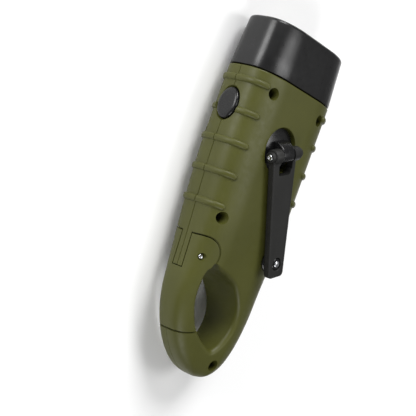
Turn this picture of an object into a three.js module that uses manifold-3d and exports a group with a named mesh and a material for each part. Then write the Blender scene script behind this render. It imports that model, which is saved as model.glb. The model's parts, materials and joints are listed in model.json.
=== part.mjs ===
// Hand crank flashlight with a carabiner tail, in millimetres.
// It lies on its back: +Y is the lamp end, +Z is the crank side, and the button and the gate are on -X.
import * as THREE from 'three';
import { mergeVertices } from 'three/addons/utils/BufferGeometryUtils.js';
import Module from 'manifold-3d';

const wasm = await Module();
wasm.setup();

// Body shells
const bodyLength = 115.2;
const bodyHalfWidth = 25;
const waistHalfWidth = 22.7;
const waistShift = 2;
const bodyHalfThickness = 12;
const tailHalfThickness = 7.2;
const flatCrown = 0.35;
const shellWall = 1.8;
const waistTopDrop = 24;
const waistLength = 58;
const taperDrop = 47.7;
const leanDrop = 71.7;
const tailLean = 6.4;
const tailRound = 33.5;
const seamGap = 0.3;
const fitGap = 0.3;
const sectionPower = 3;
const closurePower = 4;

// Grip ribs on the narrow sides
const ribHeight = 0.55;
const ribWidth = 2.6;
const ribCrestWidth = 1.4;
const firstRibDrop = 5.1;
const ribPitch = 11.65;
const ribCount = 5;
const ribEndShare = 0.72;

// Lamp bezel, lens and reflector
const bezelLength = 19.8;
const bezelWall = 1.8;
const bezelFrontShare = 0.94;
const bezelEdgeRound = 1.3;
const bezelLip = 1.5;
const bezelLipDepth = 0.9;
const lensThickness = 1.8;
const reflectorDepth = 9;
const reflectorWall = 0.8;
const collarLength = 5;
const collarWall = 1.5;
const collarRoot = 2;

// Light emitters and their board
const ledRadius = 2.5;
const ledFlangeRadius = 2.9;
const ledFlange = 1;
const ledHeight = 7.4;
const ledLegLength = 2.2;
const ledLegRadius = 0.3;
const cupBackRadius = 3.3;
const cupFrontWall = 1;
const ledBoardThickness = 1.4;

// Shell screws, each with its seat height above the seam
const screwFrontInset = 9.6;
const screwWaistInset = 5.5;
const tailScrewInset = 8.2;
const screwFrontDrop = 6.6;
const screwWaistDrop = 55.3;
const tailScrewDrop = 109;
const screwSeat = 4.6;
const tailScrewSeat = 2.2;
const screwHeadRadius = 1.85;
const screwHeadHeight = 1.4;
const screwShankRadius = 0.75;
const screwDepth = 6;
const tailScrewDepth = 3.6;
const screwSocketRadius = 0.8;
const screwSocketDepth = 0.7;
const bossRadius = 3;

// Crank hub and its recess
const hubDrop = 24;
const hubShift = -1.6;
const recessRadius = 8.6;
const recessDepth = 2.2;
const recessFloor = 1.5;
const hubDiscThickness = 0.8;
const hubShaftRadius = 3;
const hubStemRadius = 2;
const bushWall = 1;
const bushLength = 1.4;
const hingeRise = 2.3;
const hingeOffset = 1.2;
const knuckleRadius = 3.3;
const knuckleHalfWidth = 3;
const knuckleWebShare = 0.8;
const hingePinRadius = 1.25;
const pinGap = 0.2;
const hingePinProud = 0.2;

// Crank arm and knob
const crankTurn = 24.2;
const armLength = 49;
const armThickness = 2.8;
const armRootHalfWidth = 6.5;
const armTipHalfWidth = 4.2;
const armShift = -1;
const armTipRound = 1.8;
const earRadius = 2.8;
const earReach = 7;
const earBossRadius = 2;
const earBossReach = 8.5;
const windowEnd = 8.8;
const knobReach = 43.6;
const knobRadius = 4.5;
const knobThickness = 1;
const knobStemRadius = 2.3;
const knobStemSink = 0.3;
const knobGap = 0.2;
const knobRivetRadius = 0.9;
const knobRivetHeadRadius = 1.3;
const knobRivetHead = 0.5;

// Gear train
const gearModule = 0.7;
const crankTeeth = 36;
const pinionTeeth = 10;
const firstWheelTeeth = 32;
const secondWheelTeeth = 28;
const toothThinning = 0.1;
const addendumShare = 0.85;
const dedendumShare = 1.2;
const tipWidthShare = 0.5;
const rootWidthShare = 1.16;
const gearThickness = 2.4;
const gearLevelGap = 0.8;
const crankGearClearance = 0.9;
const firstMeshAngle = -115.8;
const secondMeshAngle = -26;
const thirdMeshAngle = -108;
const axleRadius = 0.75;
const axleBossRadius = 2.2;

// Generator
const statorRadius = 10.4;
const statorHeight = 5.6;
const statorWall = 0.8;
const coilWall = 2.4;
const magnetRadius = 5.4;
const magnetHeight = 3;
const generatorFloorGap = 3.4;
const generatorCoverThickness = 0.7;

// Gear plate over the main board
const plateThickness = 1.3;
const plateLevel = 7.6;
const plateHalfWidth = 13;
const plateTop = 28.4;
const plateBottom = 0.95;
const postRadius = 2.1;
const postInset = 2.6;
const plateScrewHeadRadius = 1.6;
const plateScrewHead = 0.9;
const plateScrewDepth = 4;
const plateScrewRadius = 0.6;

// Boards, switch and battery
const boardThickness = 1.5;
const boardLevel = 4.4;
const boardSideGap = 6;
const boardBottom = 8;
const boardCellGap = 0.4;
const boardTabGap = 0.6;
const boardTop = 37;
const chipWidth = 6;
const chipLength = 5;
const chipHeight = 1.1;
const rectifierWidth = 3;
const rectifierLength = 6;
const rectifierHeight = 1.4;
const rectifierInset = 0.7;
const capacitorRadius = 2.5;
const capacitorHeight = 6.5;
const switchWidth = 6.4;
const switchSideGap = 7.1;
const cellRadius = 5.8;
const cellCount = 3;
const batterySideGap = 4;
const cellY = 40.4;
const tabThickness = 0.3;
const tabShare = 0.62;
const wireRadius = 0.55;

// Push button on the narrow side
const buttonDrop = 15.1;
const buttonHoleLength = 12.4;
const buttonHoleHeight = 9.4;
const buttonProud = 0.9;
const buttonFlange = 0.9;
const buttonFlangeDepth = 0.8;
const buttonFlangeSet = 2.3;
const buttonCrown = 1;
const buttonPadShare = 0.62;
const buttonTravel = 1.2;
const plungerRadius = 1.6;

// Carabiner gate and loop
const loopCentreDrop = 88.6;
const loopHalfWidth = 15;
const loopHalfLength = 16.6;
const loopRound = 2;
const loopRoundStart = 5;
const loopRoundReach = 7;
const gatePinInset = 2.9;
const gatePinDrop = 71;
const gateEyeRadius = 5.8;
const gateEyeGrowth = 0.16;
const gateReach = 28.9;
const gatePinRadius = 0.9;
const gatePinSink = 0.7;
const tongueHalfThickness = 2.2;
const tongueRadius = 4.4;
const tongueGrowth = 0.45;
const tongueShoulder = 9;
const springWireRadius = 0.25;
const springRadius = 1.7;
const springPocketRadius = 2.5;
const springPocketHalf = 1.5;
const springPitch = 0.75;
const springTurns = 3;

// The end wall of the hollow, and how far cutters run past what they cut
const cavityEndDrop = 69;
const gateWall = 1.5;
const overrun = 20;
const nip = 0.2;

// Facet counts, and the shares that small shapes take of their own sizes
const bodySides = 32;
const cavitySides = 20;
const tailTurns = 9;
const tailSweepShare = 0.98;
const cavityTurns = 9;
const ribbedTurns = 4;
const plainTurns = 9;
const gateEdgeTurns = 14;
const gateFootTurns = 10;
const loopTurns = 42;
const domeTurns = 3;
const wireTurns = 11;
const wireSides = 5;
const knobEdgeShare = 1 / 3;
const rivetCrownShare = 0.7;
const quarterRoundShare = 1 - Math.SQRT1_2;

// Levels and places worked out from the sizes above
const tailY = -(bodyLength + bezelLength) / 2;
const jointY = tailY + bodyLength;
const frontY = jointY + bezelLength;
const seamZ = bodyHalfThickness;
const faceZ = 2 * bodyHalfThickness;
const roundStartY = tailY + tailRound;
const leanStartY = jointY - leanDrop;
const hubY = jointY - hubDrop;
const hingeZ = faceZ + hingeRise;
const hubDiscZ = faceZ - recessDepth + fitGap;
const recessUnderZ = faceZ - recessDepth - recessFloor;
const crankGearTop = recessUnderZ - crankGearClearance;
const crankGearBottom = crankGearTop - gearThickness;
const firstWheelBottom = crankGearBottom - gearLevelGap - gearThickness;
const secondWheelBottom = firstWheelBottom - gearLevelGap - gearThickness;
const buttonY = jointY - buttonDrop;
const gatePinY = jointY - gatePinDrop;
const loopCentreY = jointY - loopCentreDrop;
const buttonFaceX = shellWall + buttonFlangeSet - bodyHalfWidth;
const knobBottomZ = hingeZ - armThickness / 2 - knobGap - knobThickness;
const gatePinX = waistShift + gatePinInset - waistHalfWidth;
const screwColumn = bodyHalfWidth - screwFrontInset;
const boardHalfWidth = halfWidthAt(boardBottom) - leanAt(boardBottom) - boardSideGap;
const boardStepY = cellY - cellRadius - boardCellGap;
const batteryHalfLength = screwColumn - bossRadius - batterySideGap;
const cellLength = (2 * batteryHalfLength - (cellCount - 1) * fitGap) / cellCount;
const boardStepX = -batteryHalfLength - boardTabGap;
const cupRoom = bodyHalfWidth * bezelFrontShare - bezelWall - fitGap - cupFrontWall;
const cupFrontRadius = (cupRoom - reflectorWall) / 3;
const ledSpacing = 2 * cupFrontRadius + reflectorWall;

const materials = {
  olive: { color: 0x4d5030, roughness: 0.55, metalness: 0 },
  black: { color: 0x1b1b1c, roughness: 0.35, metalness: 0 },
  blackMatte: { color: 0x202022, roughness: 0.55, metalness: 0 },
  clear: { color: 0xdfe6ea, roughness: 0.05, metalness: 0 },
  mirror: { color: 0xe6e8ea, roughness: 0.08, metalness: 1 },
  emitter: { color: 0xf4f6e8, roughness: 0.2, metalness: 0 },
  board: { color: 0x1f5a33, roughness: 0.5, metalness: 0 },
  steel: { color: 0xb9bcc0, roughness: 0.3, metalness: 1 },
  copper: { color: 0xa8632f, roughness: 0.4, metalness: 1 },
  brass: { color: 0xb08d4c, roughness: 0.35, metalness: 1 },
  magnet: { color: 0x4a4a4e, roughness: 0.45, metalness: 1 },
  gearNatural: { color: 0xd9d6c8, roughness: 0.5, metalness: 0 },
  cellSleeve: { color: 0x2f6f9a, roughness: 0.45, metalness: 0 },
  wireSleeve: { color: 0x9a2420, roughness: 0.5, metalness: 0 },
};

const flashlight = new THREE.Group();

// Geometry helpers

function addMesh(name, geometry, material, parent = flashlight) {
  const mesh = new THREE.Mesh(geometry, new THREE.MeshStandardMaterial(materials[material]));
  mesh.name = name;
  parent.add(mesh);
  return mesh;
}

function toSolid(geometry) {
  const bare = geometry.clone();
  bare.deleteAttribute('normal');
  bare.deleteAttribute('uv');
  const merged = mergeVertices(bare);
  const vertProperties = new Float32Array(merged.attributes.position.array);
  const triVerts = new Uint32Array(merged.index.array);
  return new wasm.Manifold(new wasm.Mesh({ numProp: 3, vertProperties, triVerts }));
}

function toGeometry(solid) {
  const mesh = solid.getMesh();
  const geometry = new THREE.BufferGeometry();
  geometry.setAttribute('position', new THREE.BufferAttribute(new Float32Array(mesh.vertProperties), 3));
  geometry.setIndex(new THREE.BufferAttribute(new Uint32Array(mesh.triVerts), 1));
  geometry.computeVertexNormals();
  return geometry;
}

function join(first, ...others) {
  return others.reduce((solid, other) => solid.add(other), first);
}

function cut(first, ...others) {
  return others.reduce((solid, other) => solid.subtract(other), first);
}

function smoothStep(share) {
  const t = Math.min(1, Math.max(0, share));
  return t * t * (3 - 2 * t);
}

// An upright round bar from one height to another.
function rod(radius, bottom, top, x = 0, y = 0, sides = 24) {
  const geometry = new THREE.CylinderGeometry(radius, radius, top - bottom, sides);
  geometry.rotateX(Math.PI / 2);
  geometry.translate(x, y, (bottom + top) / 2);
  return toSolid(geometry);
}

// A block between two corners.
function block(x0, y0, z0, x1, y1, z1) {
  const geometry = new THREE.BoxGeometry(x1 - x0, y1 - y0, z1 - z0);
  geometry.translate((x0 + x1) / 2, (y0 + y1) / 2, (z0 + z1) / 2);
  return toSolid(geometry);
}

// A flat outline of [x, y] points raised from one height to another.
function prism(points, bottom, top) {
  const shape = new THREE.Shape(points.map(([x, y]) => new THREE.Vector2(x, y)));
  const geometry = new THREE.ExtrudeGeometry(shape, { depth: top - bottom, bevelEnabled: false });
  geometry.translate(0, 0, bottom);
  return toSolid(geometry);
}

// A turned piece: [radius, height] pairs about Z, starting and ending on the axis.
function turned(profile, sides = 24) {
  const points = profile.map(([radius, height]) => new THREE.Vector2(radius, height));
  const geometry = new THREE.LatheGeometry(points, sides);
  geometry.rotateX(Math.PI / 2);
  return toSolid(geometry);
}

// A solid skinned over rings of equal point count, closed at both ends.
function skin(rings) {
  const count = rings[0].length;
  const positions = rings.flat().flatMap((point) => [point.x, point.y, point.z]);
  const triangles = [];
  for (let ring = 0; ring < rings.length - 1; ring += 1) {
    for (let i = 0; i < count; i += 1) {
      const a = ring * count + i;
      const b = ring * count + ((i + 1) % count);
      triangles.push([a, b, a + count], [b, b + count, a + count]);
    }
  }
  [0, rings.length - 1].forEach((ring, end) => {
    const centre = rings[ring].reduce((sum, point) => sum.add(point), new THREE.Vector3());
    centre.divideScalar(count);
    const hub = positions.length / 3;
    positions.push(centre.x, centre.y, centre.z);
    for (let i = 0; i < count; i += 1) {
      const a = ring * count + i;
      const b = ring * count + ((i + 1) % count);
      triangles.push(end === 0 ? [hub, b, a] : [hub, a, b]);
    }
  });
  const geometry = new THREE.BufferGeometry();
  geometry.setAttribute('position', new THREE.Float32BufferAttribute(positions, 3));
  geometry.setIndex(triangles.flat());
  return toSolid(geometry);
}

// Body form

// How far the body has drawn in towards its waist.
function waistShareAt(y) {
  return smoothStep((jointY - waistTopDrop - y) / waistLength);
}

function halfWidthAt(y) {
  const width = bodyHalfWidth + (waistHalfWidth - bodyHalfWidth) * waistShareAt(y);
  const t = Math.max(0, (roundStartY - y) / tailRound);
  return width * Math.sqrt(Math.max(0, 1 - t * t));
}

function halfThicknessAt(y) {
  const taper = smoothStep((jointY - taperDrop - y) / (bodyLength - taperDrop));
  const thickness = bodyHalfThickness + (tailHalfThickness - bodyHalfThickness) * taper;
  const t = Math.max(0, (roundStartY - y) / tailRound);
  return thickness * Math.max(0, 1 - t ** closurePower) ** (1 / closurePower);
}

// The middle of a section: the +X side stays nearly straight, so the middle moves towards it.
function leanAt(y) {
  const s = Math.max(0, (leanStartY - y) / (leanStartY - tailY));
  return waistShift * waistShareAt(y) + tailLean * s * s;
}

// One ring of a rounded-rectangle section, its top and bottom crowns cut flat.
function sectionRing(y, halfWidth, halfThickness, centreX, sides, lift = () => 0) {
  const ring = [];
  for (let i = 0; i < sides; i += 1) {
    const angle = ((i + 0.5) / sides) * 2 * Math.PI;
    const c = Math.cos(angle);
    const s = Math.sin(angle);
    const xShare = Math.abs(c) ** (2 / sectionPower);
    const zShare = Math.abs(s) ** (2 / sectionPower);
    const raised = lift(xShare);
    const z = Math.min(halfThickness, (halfThickness + flatCrown) * zShare) + raised * zShare;
    ring.push(new THREE.Vector3(
      centreX + Math.sign(c) * (halfWidth + raised) * xShare,
      y,
      seamZ + Math.sign(s) * Math.min(z, bodyHalfThickness),
    ));
  }
  return ring;
}

function bodyRing(y, inset, sides, lift) {
  return sectionRing(y, halfWidthAt(y) - inset, halfThicknessAt(y) - inset, leanAt(y), sides, lift);
}

const ribLift = (xShare) => (xShare > ribEndShare ? ribHeight : 0);

// Four rings for each rib: the two feet and the two sides of the crest.
function ribStations() {
  const stations = [];
  for (let i = 0; i < ribCount; i += 1) {
    const y = jointY - firstRibDrop - i * ribPitch;
    stations.push({ y: y + ribWidth / 2 }, { y: y + ribCrestWidth / 2, lift: ribLift });
    stations.push({ y: y - ribCrestWidth / 2, lift: ribLift }, { y: y - ribWidth / 2 });
  }
  return stations;
}

function evenStations(start, end, count) {
  return Array.from({ length: count }, (_, i) => ({ y: start + ((end - start) * i) / count }));
}

// Rings that draw closer together round the tail's end.
function tailStations() {
  const quarter = (Math.PI / 2) * tailSweepShare;
  return Array.from({ length: tailTurns }, (_, i) => {
    const turn = (quarter * i) / (tailTurns - 1);
    return { y: roundStartY - tailRound * Math.sin(turn) };
  });
}

function bodySolid(withRibs) {
  const start = { y: jointY - seamGap / 2 };
  const ribs = withRibs ? ribStations() : [];
  const lastY = withRibs ? ribs[ribs.length - 1].y : start.y;
  const plain = evenStations(lastY, roundStartY, withRibs ? ribbedTurns : plainTurns).slice(1);
  const stations = [start, ...ribs, ...plain, ...tailStations()];
  return skin(stations.map(({ y, lift }) => bodyRing(y, 0, bodySides, lift)));
}

// The height of the crank-side face above the seam at a point.
function surfaceHeight(x, y) {
  const halfThickness = halfThicknessAt(y);
  const share = Math.min(1, Math.abs(x - leanAt(y)) / Math.max(nip, halfWidthAt(y)));
  const fall = (1 - share ** sectionPower) ** (1 / sectionPower);
  return Math.min(halfThickness, (halfThickness + flatCrown) * fall);
}

function bezelShareAt(y) {
  return 1 + (bezelFrontShare - 1) * Math.max(0, (y - jointY) / bezelLength);
}

function bezelRing(y, inset) {
  const share = bezelShareAt(y);
  const halfWidth = halfWidthAt(jointY) * share - inset;
  return sectionRing(y, halfWidth, bodyHalfThickness * share - inset, 0, bodySides);
}

function bezelSlice(startY, endY, inset) {
  return skin([bezelRing(endY, inset), bezelRing(startY, inset)]);
}

// Carabiner loop and gate outlines

// The edge of the loop's opening on the faces, as shares of its half width and half length.
const loopOutlineShares = [
  [-0.453, 0.994], [-0.82, 1.018], [-0.867, 0.904], [-0.94, 0.825], [-0.987, 0.572], [-0.953, 0.295],
  [-0.88, 0.048], [-0.727, -0.211], [-0.493, -0.5], [-0.253, -0.681], [0.147, -0.892], [0.507, -0.97],
  [0.733, -0.825], [0.927, -0.542], [1, -0.187], [0.86, 0.235], [0.46, 0.663], [0.247, 0.8],
  [-0.113, 0.922],
];
const loopLevelShares = [1, 0.85, 0.5, 0];

function loopOutline() {
  const points = loopOutlineShares.map(([x, y]) => new THREE.Vector3(
    x * loopHalfWidth,
    loopCentreY + y * loopHalfLength,
    0,
  ));
  const curve = new THREE.CatmullRomCurve3(points, true, 'centripetal');
  return curve.getSpacedPoints(loopTurns).slice(0, loopTurns);
}

// The edge's rounding, which fades out beside the gate's eye.
function loopRoundAt({ x, y }) {
  const distance = Math.hypot(x - gatePinX, y - gatePinY);
  return loopRound * smoothStep((distance - loopRoundStart) / loopRoundReach);
}

// The cutter for the loop's opening, whose edges are rounded over at both faces.
function loopCutter() {
  const outline = loopOutline();
  const inward = outline.map((point, i) => {
    const before = outline[(i + loopTurns - 1) % loopTurns];
    const after = outline[(i + 1) % loopTurns];
    return new THREE.Vector3(before.y - after.y, after.x - before.x, 0).normalize();
  });
  const ringAt = (side, level, extra) => outline.map((point, i) => {
    const round = loopRoundAt(point);
    const inset = round * Math.sqrt(1 - level * level);
    const x = point.x + inward[i].x * inset;
    const y = point.y + inward[i].y * inset;
    const height = surfaceHeight(point.x, point.y) - round + round * level + extra;
    return new THREE.Vector3(x, y, seamZ + side * height);
  });
  const upper = [ringAt(1, 1, overrun), ...loopLevelShares.map((level) => ringAt(1, level, 0))];
  const lower = [ringAt(-1, 1, overrun), ...loopLevelShares.map((level) => ringAt(-1, level, 0))];
  return skin([...lower, ...upper.reverse()]);
}

// A stretch of a curve round the gate's pin: the radius for each angle, in radians.
function roundPin(startAngle, endAngle, steps, radiusAt) {
  return Array.from({ length: steps + 1 }, (_, i) => {
    const angle = startAngle + ((endAngle - startAngle) * i) / steps;
    const radius = radiusAt(angle);
    return [gatePinX + radius * Math.cos(angle), gatePinY + radius * Math.sin(angle)];
  });
}

const eyeStart = THREE.MathUtils.degToRad(-40);
const eyeEnd = THREE.MathUtils.degToRad(122);
const reachStart = THREE.MathUtils.degToRad(-125);
const reachEnd = THREE.MathUtils.degToRad(-58);
const neckAngle = THREE.MathUtils.degToRad(-45);
const neckShare = 1.55;

function eyeRadiusAt(angle) {
  return gateEyeRadius * (1 + gateEyeGrowth * Math.max(0, angle));
}

// The gate seen from the crank side, grown by the running gap for its pocket.
function gateOutline(grow) {
  const eye = roundPin(eyeStart, eyeEnd, gateEdgeTurns, (angle) => eyeRadiusAt(angle) + grow);
  const foot = roundPin(reachStart, reachEnd, gateFootTurns, () => gateReach + grow);
  const neck = roundPin(neckAngle, neckAngle, 1, () => gateEyeRadius * neckShare).slice(1);
  const [, lastY] = eye[eye.length - 1];
  const outerX = gatePinX - overrun;
  return [...eye, [outerX, lastY], [outerX, foot[0][1]], ...foot, ...neck];
}

const tongueFlatAngle = THREE.MathUtils.degToRad(-60);
const tongueShoulderAngle = THREE.MathUtils.degToRad(-33);
const tongueEndAngle = THREE.MathUtils.degToRad(-150);

// The body's tongue between the gate's cheeks: its lower edge winds outwards round the pin.
function tongueOutline(grow, shoulderAngle) {
  const radiusAt = (angle) => {
    const past = Math.max(0, tongueFlatAngle - angle);
    return tongueRadius * (1 + tongueGrowth * past * past) + grow;
  };
  const edge = roundPin(tongueEndAngle, shoulderAngle, gateEdgeTurns, radiusAt);
  const [shoulder] = roundPin(shoulderAngle, shoulderAngle, 1, () => tongueShoulder);
  const sideX = gatePinX + tongueShoulder;
  const outerX = gatePinX - overrun;
  const topY = gatePinY + overrun;
  return [...edge, shoulder, [sideX, shoulder[1]], [sideX, topY], [outerX, topY], [outerX, edge[0][1]]];
}

function tonguePrism(grow, shoulderAngle) {
  const half = tongueHalfThickness + grow;
  return prism(tongueOutline(grow, shoulderAngle), seamZ - half, seamZ + half);
}

function gatePocket(grow) {
  return prism(gateOutline(grow), -overrun, faceZ + overrun);
}

const pinHalfLength = surfaceHeight(gatePinX, gatePinY) - gatePinSink;
const gatePinBore = rod(gatePinRadius + pinGap, -overrun, faceZ + overrun, gatePinX, gatePinY, 16);

// Screws and shells

const frontScrewY = jointY - screwFrontDrop;
const waistScrewY = jointY - screwWaistDrop;
const tailScrewY = jointY - tailScrewDrop;
const screwWaistReach = halfWidthAt(waistScrewY) - screwWaistInset;
const waistMiddleX = leanAt(waistScrewY);
const tailScrewX = leanAt(tailScrewY) + halfWidthAt(tailScrewY) - tailScrewInset;

// Each screw's place, the height of its head's seat above the seam and the depth of its shank below.
const screws = [
  [-screwColumn, frontScrewY, screwSeat, screwDepth],
  [screwColumn, frontScrewY, screwSeat, screwDepth],
  [waistMiddleX - screwWaistReach, waistScrewY, screwSeat, screwDepth],
  [waistMiddleX + screwWaistReach, waistScrewY, screwSeat, screwDepth],
  [tailScrewX, tailScrewY, tailScrewSeat, tailScrewDepth],
];

function hollow() {
  const endY = jointY - cavityEndDrop;
  const stations = [{ y: jointY + collarRoot }, ...evenStations(jointY, endY, cavityTurns), { y: endY }];
  const room = skin(stations.map(({ y }) => bodyRing(y, shellWall, cavitySides)));
  const eyeTop = gatePinY + eyeRadiusAt(Math.PI / 2) + fitGap + gateWall;
  const eyeSide = gatePinX + gateEyeRadius + fitGap + gateWall;
  return cut(room, block(eyeSide - 2 * overrun, eyeTop - overrun, -overrun, eyeSide, eyeTop, faceZ));
}

function collar() {
  const innerInset = bezelWall + fitGap + collarWall;
  const root = skin([
    bodyRing(jointY - seamGap / 2, shellWall - fitGap, bodySides),
    bodyRing(jointY - collarRoot, shellWall - fitGap, bodySides),
  ]);
  const tube = bezelSlice(jointY - seamGap, jointY + collarLength, bezelWall + fitGap);
  const bore = skin([
    bodyRing(jointY + collarLength + collarRoot, innerInset, bodySides),
    bodyRing(jointY - 2 * collarRoot, innerInset, bodySides),
  ]);
  return cut(join(root, tube), bore);
}

function buttonHole() {
  return ovalBar(-bodyHalfWidth - overrun, buttonFaceX, buttonHoleLength / 2, buttonHoleHeight / 2);
}

// An oval bar along X at the button's place.
function ovalBar(startX, endX, halfLength, halfHeight, sides = 28) {
  return ovalStack([[startX, halfLength, halfHeight], [endX, halfLength, halfHeight]], sides);
}

// Ovals of [x, half length, half height], skinned in order.
function ovalStack(levels, sides = 28) {
  return skin(levels.map(([x, halfLength, halfHeight]) => Array.from({ length: sides }, (_, i) => {
    const angle = ((i + 0.5) / sides) * 2 * Math.PI;
    return new THREE.Vector3(
      x,
      buttonY + halfLength * Math.cos(angle),
      seamZ + halfHeight * Math.sin(angle),
    );
  })));
}

// The two shells before they part: skin, collar and tongue, with the loop, gate and button openings cut.
function shellPair() {
  const outer = bodySolid(true);
  const pocket = cut(gatePocket(fitGap), tonguePrism(0, tongueShoulderAngle));
  const pair = join(cut(outer, hollow()), collar());
  const springPocket = rod(
    springPocketRadius,
    seamZ - springPocketHalf,
    seamZ + springPocketHalf,
    gatePinX,
    gatePinY,
    20,
  );
  return { outer, pair: cut(pair, pocket, loopCutter(), gatePinBore, springPocket, buttonHole()) };
}

const { outer: bodyOuter, pair: bodyPair } = shellPair();
const wideBlock = (bottom, top) => block(-2 * overrun, tailY - overrun, bottom, 2 * overrun, frontY, top);
const upperHalf = wideBlock(seamZ, faceZ + overrun);
const lowerHalf = wideBlock(-overrun, seamZ);

// The places where the train turns, from the hub down to the generator.
function stepFrom([x, y], degrees, teeth, pinion) {
  const angle = THREE.MathUtils.degToRad(degrees);
  const reach = (gearModule * (teeth + pinion)) / 2;
  return [x + reach * Math.cos(angle), y + reach * Math.sin(angle)];
}

const hubAt = [hubShift, hubY];
const firstIdlerAt = stepFrom(hubAt, firstMeshAngle, crankTeeth, pinionTeeth);
const secondIdlerAt = stepFrom(firstIdlerAt, secondMeshAngle, firstWheelTeeth, pinionTeeth);
const rotorAt = stepFrom(secondIdlerAt, thirdMeshAngle, secondWheelTeeth, pinionTeeth);
const generatorTop = generatorFloorGap + statorHeight;
const rotorPinionTop = secondWheelBottom + gearThickness;
const shaftTop = rotorPinionTop + axleBossRadius;
const axleTop = faceZ - shellWall - fitGap;

// Long bosses under the crank-side shell that carry the tops of the axles and the rotor's shaft.
function axleBosses() {
  const bosses = [
    [firstIdlerAt, crankGearTop + fitGap, axleTop],
    [secondIdlerAt, firstWheelBottom + gearThickness + fitGap, axleTop],
    [rotorAt, rotorPinionTop + fitGap, shaftTop],
  ];
  return bosses.map(([[x, y], bottom, top]) => ({
    boss: rod(axleBossRadius, bottom, faceZ - nip, x, y, 16),
    bore: rod(axleRadius + pinGap, bottom - nip, top + fitGap / 2, x, y, 12),
  }));
}

function addShells() {
  let top = bodyPair.intersect(upperHalf);
  let back = bodyPair.intersect(lowerHalf);
  const recessPad = rod(recessRadius + recessFloor, recessUnderZ, faceZ - nip, ...hubAt, 32);
  top = join(top, recessPad);
  screws.forEach(([x, y, seat, depth]) => {
    const upperBoss = rod(bossRadius, seamZ, faceZ, x, y, 14).intersect(bodyOuter);
    const lowerBoss = rod(bossRadius, nip, seamZ, x, y, 14).intersect(bodyOuter);
    const well = rod(screwHeadRadius + fitGap, seamZ + seat, faceZ + overrun, x, y, 16);
    const bore = rod(screwShankRadius + fitGap, seamZ - depth - fitGap, seamZ + seat + nip, x, y, 8);
    top = cut(join(top, upperBoss), well, bore);
    back = cut(join(back, lowerBoss), bore);
  });
  axleBosses().forEach(({ boss, bore }) => {
    top = cut(join(top, boss.intersect(bodyOuter)), bore);
  });
  const recess = rod(recessRadius, faceZ - recessDepth, faceZ + overrun, ...hubAt, 40);
  const bushHole = rod(bushOuterRadius + nip / 2, recessUnderZ - nip, faceZ, ...hubAt, 28);
  addMesh('crank_side_shell', toGeometry(cut(top, recess, bushHole)), 'olive');
  addMesh('back_shell', toGeometry(join(back, ...backSupports())), 'olive');
}

const bushInnerRadius = hubShaftRadius + pinGap;
const bushOuterRadius = bushInnerRadius + bushWall;
const floorZ = shellWall;
const cellZ = floorZ + fitGap + cellRadius;
const postPlaces = [-1, 1].flatMap((side) => [plateBottom + postInset, plateTop - postInset].map((y) => [
  side * (plateHalfWidth - postInset),
  y,
]));
const plateScrewBore = plateScrewRadius + fitGap;

// Posts, pegs and saddles that stand on the back shell's floor.
function backSupports() {
  const posts = postPlaces.map(([x, y]) => cut(
    rod(postRadius, floorZ - nip, plateLevel - fitGap, x, y, 16),
    rod(plateScrewBore, plateLevel - plateScrewDepth - fitGap, plateLevel, x, y, 12),
  ));
  const pegX = boardHalfWidth - postInset;
  const pegs = [-pegX, pegX].map((x) => rod(
    postRadius / 2,
    floorZ - nip,
    boardLevel - fitGap,
    x,
    (boardBottom + boardStepY) / 2,
    12,
  ));
  const seat = rod(statorRadius / 2, floorZ - nip, generatorFloorGap - fitGap, ...rotorAt, 20);
  const saddleX = cellLength + fitGap;
  const cell = cellBar(-2 * saddleX, 2 * saddleX, cellRadius + fitGap);
  const saddles = [-saddleX, saddleX].map((x) => cut(
    block(
      x - tabThickness * 2,
      cellY - cellRadius,
      floorZ - nip,
      x + tabThickness * 2,
      cellY + cellRadius,
      cellZ - cellRadius / 2,
    ),
    cell,
  ));
  return [...posts, ...pegs, seat, ...saddles];
}

// A round bar along X in the battery's place.
function cellBar(startX, endX, radius, sides = 28) {
  const geometry = new THREE.CylinderGeometry(radius, radius, endX - startX, sides);
  geometry.rotateZ(Math.PI / 2);
  geometry.translate((startX + endX) / 2, cellY, cellZ);
  return toSolid(geometry);
}

function addScrews() {
  screws.forEach(([x, y, seat, depth], i) => {
    const headBottom = seamZ + seat + nip;
    const headTop = headBottom + screwHeadHeight;
    const screw = join(
      rod(screwHeadRadius, headBottom, headTop, x, y, 14),
      rod(screwShankRadius, seamZ - depth, headBottom + nip, x, y, 8),
    );
    const socket = rod(screwSocketRadius, headTop - screwSocketDepth, headTop + nip, x, y, 6);
    addMesh(`shell_screw_${i + 1}`, toGeometry(cut(screw, socket)), 'steel');
  });
}

// Lamp head

const lensFrontY = frontY - bezelLipDepth - nip;
const lensBackY = lensFrontY - lensThickness;
const reflectorFrontY = lensBackY - nip;
const reflectorBackY = reflectorFrontY - reflectorDepth;
const ledBoardY = jointY + collarLength + fitGap;
const ledFlangeY = ledBoardY + ledBoardThickness + fitGap;
const ledPlaces = [-ledSpacing, 0, ledSpacing];

function addBezel() {
  const bend = bezelEdgeRound * quarterRoundShare;
  const outer = skin([
    bezelRing(frontY, bezelEdgeRound),
    bezelRing(frontY - bend, bend),
    bezelRing(frontY - bezelEdgeRound, 0),
    bezelRing(jointY + seamGap / 2, 0),
  ]);
  const bore = bezelSlice(jointY - bezelWall, frontY - bezelLipDepth, bezelWall);
  const window = bezelSlice(jointY, frontY + bezelLip, bezelWall + bezelLip);
  addMesh('head_bezel', toGeometry(cut(outer, bore, window)), 'black');
}

// A round piece turned about the lamp's axis: [radius, y] pairs at one light's place.
function lampTurned(profile, x, sides = 16) {
  const points = profile.map(([radius, y]) => new THREE.Vector2(radius, y));
  const geometry = new THREE.LatheGeometry(points, sides);
  geometry.translate(x, 0, seamZ);
  return toSolid(geometry);
}

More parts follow.
